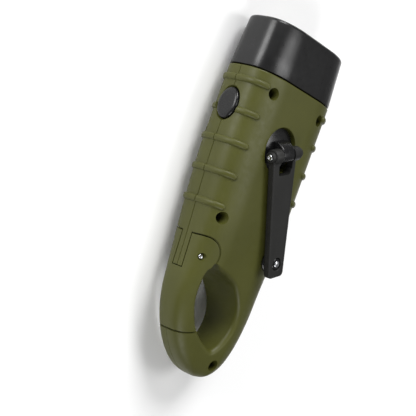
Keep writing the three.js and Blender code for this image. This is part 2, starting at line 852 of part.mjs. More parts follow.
function addLampParts() {
  const lens = bezelSlice(lensBackY, lensFrontY, bezelWall + fitGap);
  addMesh('front_lens', toGeometry(lens), 'clear');
  const cups = ledPlaces.map((x) => lampTurned([
    [0, reflectorBackY - nip],
    [cupBackRadius, reflectorBackY - nip],
    [cupBackRadius, reflectorBackY + reflectorWall],
    [(cupBackRadius + 2 * cupFrontRadius) / 3, (reflectorBackY + reflectorFrontY) / 2],
    [cupFrontRadius, reflectorFrontY],
    [cupFrontRadius, reflectorFrontY + nip],
    [0, reflectorFrontY + nip],
  ], x));
  const body = bezelSlice(reflectorBackY, reflectorFrontY, bezelWall + fitGap);
  addMesh('reflector', toGeometry(cut(body, ...cups)), 'mirror');
  const legs = ledPlaces.flatMap((x) => [-1, 1].map((side) => [x + side * ledRadius / 2, ledLegRadius]));
  const holes = legs.map(([x, radius]) => lampTurned([
    [0, jointY],
    [radius + nip, jointY],
    [radius + nip, ledFlangeY],
    [0, ledFlangeY],
  ], x, 8));
  const board = bezelSlice(ledBoardY, ledBoardY + ledBoardThickness, bezelWall + 2 * fitGap);
  addMesh('led_board', toGeometry(cut(board, ...holes)), 'board');
  ledPlaces.forEach((x, i) => addMesh(`led_${i + 1}`, toGeometry(ledSolid(x)), 'emitter'));
}

// One light emitter: flange, barrel, dome and two legs.
function ledSolid(x) {
  const domeY = ledFlangeY + ledHeight - ledRadius;
  const dome = Array.from({ length: domeTurns }, (_, step) => {
    const angle = (step / domeTurns) * (Math.PI / 2);
    return [ledRadius * Math.cos(angle), domeY + ledRadius * Math.sin(angle)];
  });
  const lamp = lampTurned([
    [0, ledFlangeY],
    [ledFlangeRadius, ledFlangeY],
    [ledFlangeRadius, ledFlangeY + ledFlange],
    [ledRadius, ledFlangeY + ledFlange],
    ...dome,
    [0, domeY + ledRadius],
  ], x);
  const legs = [-1, 1].map((side) => lampTurned([
    [0, ledFlangeY - ledLegLength],
    [ledLegRadius, ledFlangeY - ledLegLength],
    [ledLegRadius, ledFlangeY + nip],
    [0, ledFlangeY + nip],
  ], x + (side * ledRadius) / 2, 6));
  return join(lamp, ...legs);
}

// Gears

// A toothed outline about the origin with one tooth centred on the phase angle.
function gearOutline(teeth, phase) {
  const pitchRadius = (gearModule * teeth) / 2;
  const tipRadius = pitchRadius + gearModule * addendumShare;
  const rootRadius = pitchRadius - gearModule * dedendumShare;
  const half = (Math.PI * gearModule) / 4 - toothThinning;
  const points = [];
  for (let i = 0; i < teeth; i += 1) {
    const middle = phase + (i / teeth) * 2 * Math.PI;
    const corners = [
      [rootRadius, -half * rootWidthShare],
      [tipRadius, -half * tipWidthShare],
      [tipRadius, half * tipWidthShare],
      [rootRadius, half * rootWidthShare],
    ];
    corners.forEach(([radius, offset]) => {
      const angle = middle + offset / pitchRadius;
      points.push([radius * Math.cos(angle), radius * Math.sin(angle)]);
    });
  }
  return points;
}

function gearSolid(teeth, phase, bottom, top) {
  return prism(gearOutline(teeth, phase), bottom, top);
}

const facing = (degrees) => THREE.MathUtils.degToRad(degrees);
const behind = (degrees) => facing(degrees) + Math.PI + Math.PI / pinionTeeth;

// Two gears in one piece that turn on a fixed axle.
function addIdler(name, place, wheel, pinion) {
  const bore = rod(axleRadius + pinGap, -overrun, faceZ + overrun, 0, 0, 16);
  const wheelSolid = gearSolid(wheel.teeth, facing(wheel.angle), wheel.bottom, wheel.bottom + gearThickness);
  const pinionSolid = gearSolid(pinionTeeth, behind(pinion.angle), wheel.bottom, pinion.top);
  const mesh = addMesh(name, toGeometry(cut(join(wheelSolid, pinionSolid), bore)), 'gearNatural');
  mesh.position.set(place[0], place[1], 0);
}

function addAxle(name, [x, y]) {
  const axle = rod(axleRadius, plateLevel + fitGap, axleTop, x, y, 16);
  addMesh(name, toGeometry(axle), 'steel');
}

function addGearTrain() {
  addIdler(
    'idler_gear_1',
    firstIdlerAt,
    { teeth: firstWheelTeeth, angle: secondMeshAngle, bottom: firstWheelBottom },
    { angle: firstMeshAngle, top: crankGearTop },
  );
  addIdler(
    'idler_gear_2',
    secondIdlerAt,
    { teeth: secondWheelTeeth, angle: thirdMeshAngle, bottom: secondWheelBottom },
    { angle: secondMeshAngle, top: firstWheelBottom + gearThickness },
  );
  addAxle('idler_axle_1', firstIdlerAt);
  addAxle('idler_axle_2', secondIdlerAt);
}

// Generator

function addGenerator() {
  const [x, y] = rotorAt;
  const ring = (outer, inner, bottom, top, sides = 28) => cut(
    rod(outer, bottom, top, x, y, sides),
    rod(inner, bottom - nip, top + nip, x, y, sides),
  );
  const floorTop = generatorFloorGap + statorWall;
  const coilOuter = statorRadius - statorWall - fitGap;
  const stator = cut(
    rod(statorRadius, generatorFloorGap, generatorTop, x, y, 28),
    rod(statorRadius - statorWall, floorTop, generatorTop + nip, x, y, 28),
  );
  const coverBottom = generatorTop + nip;
  const pinionBottom = coverBottom + generatorCoverThickness + fitGap;
  const shaftBore = axleRadius + pinGap;
  addMesh('generator_case', toGeometry(stator), 'steel');
  addMesh('generator_coil', toGeometry(ring(
    coilOuter,
    coilOuter - coilWall,
    floorTop + fitGap,
    generatorTop - fitGap,
  )), 'copper');
  addMesh('generator_cover', toGeometry(ring(
    statorRadius,
    shaftBore,
    coverBottom,
    coverBottom + generatorCoverThickness,
  )), 'brass');
  const magnetBottom = (floorTop + generatorTop - magnetHeight) / 2;
  addMesh('rotor_magnet', toGeometry(ring(
    magnetRadius,
    shaftBore,
    magnetBottom,
    magnetBottom + magnetHeight,
    24,
  )), 'magnet');
  addMesh('rotor_shaft', toGeometry(rod(axleRadius, floorTop + fitGap, shaftTop, x, y, 16)), 'steel');
  const pinion = cut(
    gearSolid(pinionTeeth, behind(thirdMeshAngle), pinionBottom, rotorPinionTop),
    rod(shaftBore, -overrun, faceZ, 0, 0, 16),
  );
  addMesh('rotor_pinion', toGeometry(pinion), 'brass').position.set(x, y, 0);
}

// Gear plate, boards and battery

function addGearPlate() {
  const plateUpper = plateLevel + plateThickness;
  const plate = block(-plateHalfWidth, plateBottom, plateLevel, plateHalfWidth, plateTop, plateUpper);
  const holes = postPlaces.map(([x, y]) => rod(plateScrewBore, 0, faceZ, x, y, 12));
  const seats = [firstIdlerAt, secondIdlerAt].map(([x, y]) => rod(
    axleRadius + pinGap,
    plateLevel - nip,
    faceZ,
    x,
    y,
    12,
  ));
  addMesh('gear_plate', toGeometry(cut(plate, ...holes, ...seats)), 'blackMatte');
  const headBottom = plateUpper + nip;
  postPlaces.forEach(([x, y], i) => addMesh(`plate_screw_${i + 1}`, toGeometry(join(
    rod(plateScrewHeadRadius, headBottom, headBottom + plateScrewHead, x, y, 12),
    rod(plateScrewRadius, plateLevel - plateScrewDepth, headBottom + nip, x, y, 8),
  )), 'steel'));
}

const boardTopZ = boardLevel + boardThickness;
const partZ = boardTopZ + fitGap;

function addMainBoard() {
  const outline = [
    [-boardHalfWidth, boardBottom],
    [boardHalfWidth, boardBottom],
    [boardHalfWidth, boardStepY],
    [boardStepX, boardStepY],
    [boardStepX, boardTop],
    [-boardHalfWidth, boardTop],
  ];
  const holes = postPlaces.map(([x, y]) => rod(postRadius + fitGap, 0, faceZ, x, y, 16));
  addMesh('main_board', toGeometry(cut(prism(outline, boardLevel, boardTopZ), ...holes)), 'board');
  const chipY = (plateTop + boardBottom) / 2;
  addMesh('control_chip', toGeometry(block(
    -chipWidth / 2,
    chipY - chipLength / 2,
    partZ,
    chipWidth / 2,
    chipY + chipLength / 2,
    partZ + chipHeight,
  )), 'blackMatte');
  addMesh('bridge_rectifier', toGeometry(block(
    boardHalfWidth - rectifierInset - rectifierWidth,
    boardBottom + postInset,
    partZ,
    boardHalfWidth - rectifierInset,
    boardBottom + postInset + rectifierLength,
    partZ + rectifierHeight,
  )), 'blackMatte');
  const capacitorY = plateTop + fitGap + capacitorRadius;
  addMesh('smoothing_capacitor', toGeometry(turned([
    [0, partZ],
    [capacitorRadius, partZ],
    [capacitorRadius, partZ + capacitorHeight],
    [0, partZ + capacitorHeight],
  ]).translate([0, capacitorY, 0])), 'steel');
}

// Battery of button cells on its side, with a contact tab at each end.
function addBattery() {
  const pitch = cellLength + fitGap;
  for (let i = 0; i < cellCount; i += 1) {
    const x = i * pitch - batteryHalfLength;
    addMesh(`battery_cell_${i + 1}`, toGeometry(cellBar(x, x + cellLength, cellRadius)), 'cellSleeve');
  }
  const tabStart = -batteryHalfLength - fitGap - tabThickness;
  [tabStart, -tabStart - tabThickness].forEach((x, i) => addMesh(
    `battery_tab_${i + 1}`,
    toGeometry(cellBar(x, x + tabThickness, cellRadius * tabShare, 16)),
    'steel',
  ));
}

// Push button and switch

const buttonBackX = buttonFaceX + buttonFlangeDepth;
const switchFaceX = switchSideGap - bodyHalfWidth;

function addButton() {
  const halfLength = buttonHoleLength / 2 - fitGap;
  const halfHeight = buttonHoleHeight / 2 - fitGap;
  const crestX = -(bodyHalfWidth + buttonProud);
  const padX = crestX + buttonCrown * (1 - buttonPadShare);
  const body = ovalStack([
    [buttonBackX, halfLength + buttonFlange, halfHeight + buttonFlange],
    [buttonFaceX, halfLength + buttonFlange, halfHeight + buttonFlange],
    [buttonFaceX - nip / 2, halfLength, halfHeight],
    [crestX + buttonCrown, halfLength, halfHeight],
    [padX, halfLength - buttonCrown * (1 - buttonPadShare), halfHeight - buttonCrown * (1 - buttonPadShare)],
    [crestX, halfLength * buttonPadShare, halfHeight * buttonPadShare],
  ].reverse());
  addMesh('button_cap', toGeometry(body), 'black');
  addMesh('switch_plunger', toGeometry(xRod(
    plungerRadius,
    buttonBackX + fitGap,
    switchFaceX + buttonTravel,
  )), 'blackMatte');
  const switchBody = block(
    switchFaceX,
    buttonY - switchWidth / 2,
    partZ,
    switchFaceX + switchWidth,
    buttonY + switchWidth / 2,
    seamZ + switchWidth / 2,
  );
  const well = xRod(plungerRadius + fitGap, switchFaceX - nip, switchFaceX + 2 * buttonTravel + fitGap);
  addMesh('switch_body', toGeometry(cut(switchBody, well)), 'blackMatte');
}

// A round bar along X at the button's place.
function xRod(radius, startX, endX, sides = 16) {
  const geometry = new THREE.CylinderGeometry(radius, radius, endX - startX, sides);
  geometry.rotateZ(Math.PI / 2);
  geometry.translate((startX + endX) / 2, buttonY, seamZ);
  return toSolid(geometry);
}

// Carabiner gate

class HelixCurve extends THREE.Curve {
  getPoint(t) {
    const angle = t * springTurns * 2 * Math.PI;
    const height = (t - 0.5) * springTurns * springPitch;
    return new THREE.Vector3(springRadius * Math.cos(angle), springRadius * Math.sin(angle), height);
  }
}

function circleShape(radius, sides) {
  return new THREE.Shape(Array.from({ length: sides }, (_, i) => {
    const angle = (i / sides) * 2 * Math.PI;
    return new THREE.Vector2(radius * Math.cos(angle), radius * Math.sin(angle));
  }));
}

function addGate() {
  const gate = bodySolid(false).intersect(gatePocket(0));
  const slot = tonguePrism(fitGap, tongueFlatAngle);
  addMesh('carabiner_gate', toGeometry(cut(gate, slot, loopCutter(), gatePinBore)), 'olive');
  const pin = rod(gatePinRadius, seamZ - pinHalfLength, seamZ + pinHalfLength, gatePinX, gatePinY, 16);
  addMesh('gate_pin', toGeometry(pin), 'steel');
  const wire = new THREE.ExtrudeGeometry(circleShape(springWireRadius, wireSides), {
    steps: springTurns * 8,
    extrudePath: new HelixCurve(),
  });
  const spring = addMesh('gate_spring', toGeometry(toSolid(wire)), 'steel');
  spring.position.set(gatePinX, gatePinY, seamZ);
}

// Crank, built straight towards the tail and turned about the hub

const crank = new THREE.Group();
crank.position.set(hubShift, hubY, 0);
crank.rotation.z = THREE.MathUtils.degToRad(crankTurn);
flashlight.add(crank);

// A round bar across the crank at the hinge, from one side to the other.
function hingeRod(radius, startX, endX, sides = 24) {
  const geometry = new THREE.CylinderGeometry(radius, radius, endX - startX, sides);
  geometry.rotateZ(Math.PI / 2);
  geometry.translate((startX + endX) / 2, -hingeOffset, hingeZ);
  return toSolid(geometry);
}

function addHub() {
  const discRadius = recessRadius - 2 * pinGap;
  const shaftBottom = crankGearTop + pinGap;
  const stemBottom = crankGearBottom - nip / 2;
  const screwHoleTop = hubDiscZ - nip;
  const disc = turned([
    [0, hubDiscZ],
    [discRadius, hubDiscZ],
    [discRadius, hubDiscZ + hubDiscThickness / 2],
    [knuckleHalfWidth, hubDiscZ + hubDiscThickness],
    [0, hubDiscZ + hubDiscThickness],
  ], 40);
  const web = knuckleRadius * knuckleWebShare;
  const webEndY = web - hingeOffset;
  const hub = join(
    disc,
    rod(hubShaftRadius, shaftBottom, hubDiscZ + nip),
    rod(hubStemRadius, stemBottom, shaftBottom + nip),
    block(-knuckleHalfWidth, -hingeOffset - web, hubDiscZ + nip, knuckleHalfWidth, webEndY, hingeZ),
    hingeRod(knuckleRadius, -knuckleHalfWidth, knuckleHalfWidth, 28),
  );
  const pinBore = hingeRod(hingePinRadius + pinGap, -overrun, overrun, 16);
  const screwBore = rod(screwShankRadius + pinGap, 0, screwHoleTop, 0, 0, 12);
  addMesh('crank_hub', toGeometry(cut(hub, pinBore, screwBore)), 'black', crank);
  const gear = cut(
    gearSolid(crankTeeth, facing(firstMeshAngle - crankTurn), crankGearBottom, crankGearTop),
    rod(hubStemRadius + pinGap, 0, faceZ),
  );
  addMesh('crank_gear', toGeometry(gear), 'gearNatural', crank);
  const screwHeadTop = stemBottom - nip;
  const screw = join(
    rod(hubShaftRadius, screwHeadTop - plateScrewHead, screwHeadTop),
    rod(screwShankRadius, screwHeadTop - nip, screwHoleTop - fitGap, 0, 0, 12),
  );
  addMesh('hub_screw', toGeometry(screw), 'steel', crank);
  const pinEnd = earBossReach + hingePinProud;
  addMesh('hinge_pin', toGeometry(hingeRod(hingePinRadius, -pinEnd, pinEnd, 16)), 'steel', crank);
  const bush = cut(
    rod(bushOuterRadius, recessUnderZ + nip / 2, recessUnderZ + bushLength, ...hubAt),
    rod(bushInnerRadius, recessUnderZ - nip, faceZ, ...hubAt),
  );
  addMesh('hub_bush', toGeometry(bush), 'brass');
}

const armTop = hingeZ + armThickness / 2;
const armBottom = hingeZ - armThickness / 2;

function addArm() {
  const rootY = -hingeOffset;
  const tipY = -armLength;
  const bend = armTipRound * quarterRoundShare;
  const outline = [
    [-armRootHalfWidth, rootY],
    [-armTipHalfWidth, tipY + armTipRound],
    [bend - armTipHalfWidth, tipY + bend],
    [armTipRound - armTipHalfWidth, tipY],
    [armTipHalfWidth - armTipRound, tipY],
    [armTipHalfWidth - bend, tipY + bend],
    [armTipHalfWidth, tipY + armTipRound],
    [armRootHalfWidth, rootY],
  ].map(([x, y]) => [armShift + x, y]);
  const slot = knuckleHalfWidth + fitGap;
  const arm = join(
    prism(outline, armBottom, armTop),
    hingeRod(earRadius, -earReach, earReach),
    hingeRod(earBossRadius, -earBossReach, earBossReach, 20),
  );
  const window = block(
    -slot,
    rootY - windowEnd,
    armBottom - earRadius,
    slot,
    rootY + 2 * earRadius,
    armTop + earRadius,
  );
  const pinBore = hingeRod(hingePinRadius + pinGap, -overrun, overrun, 16);
  const knobBore = rod(knobStemRadius + pinGap, 0, faceZ + overrun, armShift, -knobReach, 20);
  addMesh('crank_arm', toGeometry(cut(arm, window, pinBore, knobBore)), 'black', crank);
}

function addKnob() {
  const stemTop = armTop - knobStemSink;
  const edge = knobThickness * knobEdgeShare;
  const knob = turned([
    [0, knobBottomZ],
    [knobRadius - edge, knobBottomZ],
    [knobRadius, knobBottomZ + edge],
    [knobRadius, knobBottomZ + knobThickness],
    [knobStemRadius, knobBottomZ + knobThickness],
    [knobStemRadius, stemTop],
    [0, stemTop],
  ]);
  const bore = rod(knobRivetRadius + pinGap, armBottom, stemTop + nip, 0, 0, 16);
  const head = stemTop + nip;
  const rivet = join(
    rod(knobRivetRadius, armBottom + pinGap, head + nip, 0, 0, 16),
    turned([
      [0, head],
      [knobRivetHeadRadius, head],
      [knobRivetHeadRadius * rivetCrownShare, head + knobRivetHead],
      [0, head + knobRivetHead],
    ], 16),
  );
  addMesh('crank_knob', toGeometry(cut(knob, bore)), 'black', crank).position.set(armShift, -knobReach, 0);
  addMesh('knob_rivet', toGeometry(rivet), 'steel', crank).position.set(armShift, -knobReach, 0);
}

// Wires, each strand a smooth run through points chosen along its real way

// Points as shares of the cell's radius, from the battery's end that they pass.
const ledWireShares = [
  [
    [0.59, 2.1, 0.36], [0.24, 1.55, 0.26], [-0.34, 0.88, 0.26],
    [-0.43, 0.1, 0.47], [-0.34, -0.59, 0.57], [-0.31, -1.24, 0.09],
  ],
  [
    [0.93, 2.1, 0.64], [0.48, 1.59, 1.4], [-0.34, 0.88, 0.88],
    [-0.45, 0.17, 0.91], [-0.28, -1.21, 0.78], [-0.09, -1.72, 0.09],
  ],
];
const batteryWireShares = [
  [[0.21, 0, 0.34], [0.45, -0.31, 0.4], [0.55, -0.83, 0.33], [0.52, -1.41, 0.09]],
  [
    [-0.21, 0.21, -0.05], [-0.43, -0.07, -0.16], [-0.53, -0.34, -0.09],
    [-0.38, -0.59, 0.21], [-0.31, -0.76, 0.09],
  ],
];
// Points as shares of the generator's radius, from its axis.
const generatorWireShares = [
  [[1.03, 0.18, 0.01], [1.1, 0.52, 0.01], [1.3, 1.04, 0.07], [1.42, 1.53, 0.16], [1.4, 1.8, 0.05]],
  [[1.03, 0.39, 0.14], [1.15, 0.66, 0.2], [1.27, 1.14, 0.38], [1.29, 1.58, 0.26], [1.26, 1.8, 0.05]],
];

function strand(shares, [x, y], size) {
  const points = shares.map((share) => new THREE.Vector3(
    x + share[0] * size,
    y + share[1] * size,
    boardTopZ + share[2] * size,
  ));
  const path = new THREE.CatmullRomCurve3(points);
  const section = circleShape(wireRadius, wireSides);
  return toSolid(new THREE.ExtrudeGeometry(section, { steps: wireTurns, extrudePath: path }));
}

function addWires() {
  const minusEnd = [-batteryHalfLength, cellY];
  const plusEnd = [batteryHalfLength, cellY];
  const runs = [
    ['led_wire_1', ledWireShares[0], minusEnd, cellRadius],
    ['led_wire_2', ledWireShares[1], minusEnd, cellRadius],
    ['generator_wire_1', generatorWireShares[0], rotorAt, statorRadius],
    ['generator_wire_2', generatorWireShares[1], rotorAt, statorRadius],
    ['battery_wire_1', batteryWireShares[0], plusEnd, cellRadius],
    ['battery_wire_2', batteryWireShares[1], minusEnd, cellRadius],
  ];
  runs.forEach(([name, shares, place, size]) => {
    addMesh(name, toGeometry(strand(shares, place, size)), 'wireSleeve');
  });
}

addShells();
addScrews();
addBezel();
addLampParts();
addGearTrain();
addGenerator();
addGearPlate();
addMainBoard();
addBattery();
addButton();
addGate();
addHub();
addArm();
addKnob();
addWires();

export default flashlight;
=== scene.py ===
"""Hand crank flashlight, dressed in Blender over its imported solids.

The light lies on its back: +Y is the lamp end, +Z the crank side, and the button and the gate
are on -X. Sizes are written in millimetres and turned into metres where a mesh is made.
"""

import json
import logging
import math
from abc import ABC, abstractmethod
from dataclasses import dataclass, field
from enum import Enum
from typing import Callable, Sequence

import bpy
from mathutils import Matrix, Vector


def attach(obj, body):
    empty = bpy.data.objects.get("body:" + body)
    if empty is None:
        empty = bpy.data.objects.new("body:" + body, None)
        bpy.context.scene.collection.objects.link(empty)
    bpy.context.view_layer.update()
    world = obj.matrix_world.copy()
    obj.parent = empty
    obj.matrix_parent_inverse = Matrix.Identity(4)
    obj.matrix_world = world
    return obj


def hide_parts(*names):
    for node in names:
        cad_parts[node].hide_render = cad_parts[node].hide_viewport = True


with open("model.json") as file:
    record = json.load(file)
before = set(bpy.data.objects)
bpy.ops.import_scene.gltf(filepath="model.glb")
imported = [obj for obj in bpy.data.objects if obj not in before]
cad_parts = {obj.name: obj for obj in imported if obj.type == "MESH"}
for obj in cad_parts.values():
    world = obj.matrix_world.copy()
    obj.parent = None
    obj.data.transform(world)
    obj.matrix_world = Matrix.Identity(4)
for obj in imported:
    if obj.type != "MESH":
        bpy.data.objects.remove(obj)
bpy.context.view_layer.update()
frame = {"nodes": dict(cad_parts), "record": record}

LOG = logging.getLogger("flashlight")
MM = 0.001

LEAST_RADIUS = 0.01  # keeps a turned piece's end from closing to a point
EDGE_FACETS = 4  # facets across a rounded edge
SMOOTH_ANGLE = 32.0  # degrees; a sharper turn keeps a crisp edge
BELOW_ALL, ABOVE_ALL = -20.0, 44.0  # heights past both faces of the body
TINY_STEP = 0.01  # keeps a turned shoulder from having two points at one height
CORNER_STEPS = 8  # stretches round a small corner
PIN_SIDES = 40  # facets round a pin or a small hole
DISC_SIDES = 120  # facets round the hub's disc and its recess

Piece = bpy.types.Object
Socket = bpy.types.NodeSocket
Colour = tuple[float, float, float]
Point = tuple[float, float, float]
Ring = list[Point]
Outline = list[tuple[float, float]]
Profile = Sequence[tuple[float, float]]

# A pin's rolled end: shares of its radius, and how far below the end each lies.
ROLLED_END: Profile = (
    (0.0, 0.22), (0.3, 0.2), (0.5, 0.08), (0.64, 0.01),
    (0.74, 0.0), (0.86, 0.06), (0.95, 0.18), (1.0, 0.38),
)


class Operation(Enum):
    """What one solid does to another."""

    JOIN = "UNION"
    CUT = "DIFFERENCE"
    KEEP = "INTERSECT"


class Axis(Enum):
    """The axis that a turned piece is turned about."""

    X = "X"
    Y = "Y"
    Z = "Z"


def smooth_step(share: float) -> float:
    """Give a soft rise from 0 to 1."""
    t = min(1.0, max(0.0, share))
    return t * t * (3.0 - 2.0 * t)


def rectangle(left: float, low: float, right: float, high: float) -> Outline:
    """Give a rectangle's corners, anticlockwise seen from above."""
    return [(left, low), (right, low), (right, high), (left, high)]


def quarter_turns(steps: int, start: float = 0.0) -> Outline:
    """Give directions at even steps over a quarter turn.

    Args:
        steps: How many stretches the quarter is cut into.
        start: The first direction, in degrees.

    Returns:
        The cosine and sine of each direction.
    """
    turns = [math.radians(start + 90.0 * i / steps) for i in range(steps + 1)]
    return [(math.cos(turn), math.sin(turn)) for turn in turns]


def corner(middle: tuple[float, float], radius: float, start: float, steps: int) -> Outline:
    """Give points on a quarter circle.

    Args:
        middle: The circle's middle.
        radius: Its radius.
        start: The first direction, in degrees.
        steps: How many stretches the quarter is cut into.

    Returns:
        The points, anticlockwise.
    """
    across, up = middle
    return [(across + radius * c, up + radius * s) for c, s in quarter_turns(steps, start)]


def make_mesh(name: str, points: Sequence[Point], faces: Sequence[Sequence[int]]) -> Piece:
    """Make an object from points in millimetres.

    Args:
        name: The object's name.
        points: Its points, in millimetres.
        faces: Its faces, as rows of point numbers.

    Returns:
        The new object, linked to the scene.
    """
    mesh = bpy.data.meshes.new(name)
    mesh.from_pydata([(x * MM, y * MM, z * MM) for x, y, z in points], [], faces)
    mesh.validate()
    made = bpy.data.objects.new(name, mesh)
    bpy.context.scene.collection.objects.link(made)
    return made


def loft(name: str, rings: Sequence[Ring]) -> Piece:
    """Skin a closed solid over rings of equal count.

    Args:
        name: The object's name.
        rings: Rings of points, in order along the piece.

    Returns:
        The solid, closed by a fan at each end.
    """
    count = len(rings[0])
    points = [point for ring in rings for point in ring]
    faces: list[tuple[int, ...]] = []
    for level in range(len(rings) - 1):
        for i in range(count):
            a = level * count + i
            b = level * count + (i + 1) % count
            faces.append((a, b, b + count, a + count))
    for level, turned in ((0, True), (len(rings) - 1, False)):
        ring = rings[level]
        centre = tuple(sum(p[k] for p in ring) / count for k in range(3))
        points.append(centre)
        hub = len(points) - 1
        for i in range(count):
            a = level * count + i
            b = level * count + (i + 1) % count
            faces.append((hub, b, a) if turned else (hub, a, b))
    return make_mesh(name, points, faces)


def lathe(
    name: str, profile: Profile, centre: Point, axis: Axis = Axis.Z, sides: int = 64
) -> Piece:
    """Turn a profile about an axis.

    Args:
        name: The object's name.
        profile: Pairs of radius and distance along the axis, from one end to the other.
        centre: The point that the distances start from.
        axis: The axis that the profile is turned about.
        sides: How many facets go round.

    Returns:
        The turned solid, with a closed face at each end.
    """
    rings: list[Ring] = []
    for radius, along in profile:
        ring: Ring = []
        reach = max(radius, LEAST_RADIUS)
        for i in range(sides):
            turn = 2.0 * math.pi * i / sides
            u, v = reach * math.cos(turn), reach * math.sin(turn)
            local = {Axis.Z: (u, v, along), Axis.X: (along, u, v), Axis.Y: (v, along, u)}[axis]
            ring.append(tuple(c + d for c, d in zip(centre, local)))
        rings.append(ring)
    if profile[-1][1] < profile[0][1]:
        rings.reverse()
    return loft(name, rings)


def prism(name: str, outline: Profile, bottom: float, top: float) -> Piece:
    """Raise a flat outline between two heights.

    Args:
        name: The object's name.
        outline: Points of the outline, running anticlockwise seen from above.
        bottom: The lower height.
        top: The upper height.

    Returns:
        The raised solid.
    """
    count = len(outline)
    points = [(x, y, z) for z in (bottom, top) for x, y in outline]
    faces: list[Sequence[int]] = [tuple(reversed(range(count))), tuple(range(count, 2 * count))]
    faces += [(i, (i + 1) % count, (i + 1) % count + count, i + count) for i in range(count)]
    return make_mesh(name, points, faces)


def riveted(radius: float, low: float, high: float) -> Outline:
    """Give the profile of a pin whose ends are rolled over round a shallow dimple.

    Args:
        radius: The pin's radius.
        low: Its lower end.
        high: Its upper end.

    Returns:
        Pairs of radius and distance along the pin.
    """
    lower = [(radius * share, low + radius * depth) for share, depth in ROLLED_END]
    upper = [(radius * share, high - radius * depth) for share, depth in reversed(ROLLED_END)]
    return lower + upper


def remove(piece: Piece) -> None:
    """Delete a helper object.

    Args:
        piece: The helper.
    """
    mesh = piece.data
    bpy.data.objects.remove(piece)
    bpy.data.meshes.remove(mesh)


def settle(piece: Piece) -> Piece:
    """Apply a piece's modifiers.

    Args:
        piece: The piece.

    Returns:
        The same piece, with its modifiers' result as its own mesh.
    """
    graph = bpy.context.evaluated_depsgraph_get()
    done = bpy.data.meshes.new_from_object(piece.evaluated_get(graph))
    piece.modifiers.clear()
    old = piece.data
    piece.data = done
    done.name = piece.name
    bpy.data.meshes.remove(old)
    return piece


def combine(piece: Piece, how: Operation, *others: Piece) -> Piece:
    """Join, cut or clip a piece with helpers, and delete the helpers.

    Args:
        piece: The piece to change.
        how: The operation.
        others: The helpers, used in order.

    Returns:
        The changed piece.
    """
    for other in others:
        work = piece.modifiers.new(how.name.lower(), "BOOLEAN")
        work.operation = how.value
        work.solver = "MANIFOLD"
        work.object = other
        settle(piece)
        remove(other)
    return piece


def shade(piece: Piece) -> Piece:
    """Shade a piece smooth, with crisp edges where it turns sharply.

    Args:
        piece: The piece.

    Returns:
        The same piece.
    """
    piece.data.shade_smooth()
    piece.data.set_sharp_from_angle(angle=math.radians(SMOOTH_ANGLE))
    return piece


def round_edges(piece: Piece, width: float, degrees: float) -> Piece:
    """Round a piece's sharp edges.

    Args:
        piece: The piece.
        width: The rounding's width, in millimetres.
        degrees: Edges sharper than this are rounded.

    Returns:
        The same piece.
    """
    bevel = piece.modifiers.new("rounding", "BEVEL")
    bevel.width = width * MM
    bevel.segments = EDGE_FACETS
    bevel.limit_method = "ANGLE"
    bevel.angle_limit = math.radians(degrees)
    bevel.harden_normals = False
    return settle(piece)


class Finish(ABC):
    """A finish that a piece can be dressed in."""

    name: str

    def material(self) -> bpy.types.Material:
        """Give the finish's material, made once."""
        return Nodes.once(self.name, self.paint)

    @abstractmethod
    def paint(self, nodes: "Nodes") -> None:
        """Wire the finish's nodes."""


@dataclass(frozen=True)
class Plastic(Finish):
    """A moulded plastic with a fine texture and a slight drift of tone and gloss.

    Attributes:
        name: The finish's name.
        colour: Its main colour.
        deep: Its darker tone.
        roughness: Its middle roughness.
        drift: How far the roughness wanders.
        grain: How deep its moulded texture is.
        coat: How much clear gloss lies over it.
        specular: How strongly it reflects at its face.
        tone_scale: How fine the drift of its tone is, in cells for each metre.
        wear_scale: How fine the drift of its gloss is.
        grain_scale: How fine its texture is.
        grain_height: How high its texture stands, in metres.
        coat_roughness: How much the clear gloss blurs.
    """

    name: str
    colour: Colour
    deep: Colour
    roughness: float
    drift: float = 0.06
    grain: float = 0.12
    coat: float = 0.0
    specular: float = 0.5
    tone_scale: float = 55.0
    wear_scale: float = 420.0
    grain_scale: float = 2600.0
    grain_height: float = 0.00004
    coat_roughness: float = 0.18

    def paint(self, nodes: "Nodes") -> None:
        """Wire the finish's nodes.

        Args:
            nodes: The tree to wire.
        """
        drift = nodes.noise(nodes.place, self.tone_scale, detail=4.0, rough=0.55)
        wear = nodes.noise(nodes.place, self.wear_scale, detail=3.0, rough=0.6)
        grain = nodes.noise(nodes.place, self.grain_scale, detail=2.0, rough=0.5)
        nodes.colour(drift, ((0.30, self.deep), (0.68, self.colour)))
        nodes.roughness(wear, self.roughness - self.drift, self.roughness + self.drift)
        nodes.level("Coat Weight", self.coat)
        nodes.level("Coat Roughness", self.coat_roughness)
        nodes.level("Specular IOR Level", self.specular)
        nodes.bump(grain, self.grain, self.grain_height)


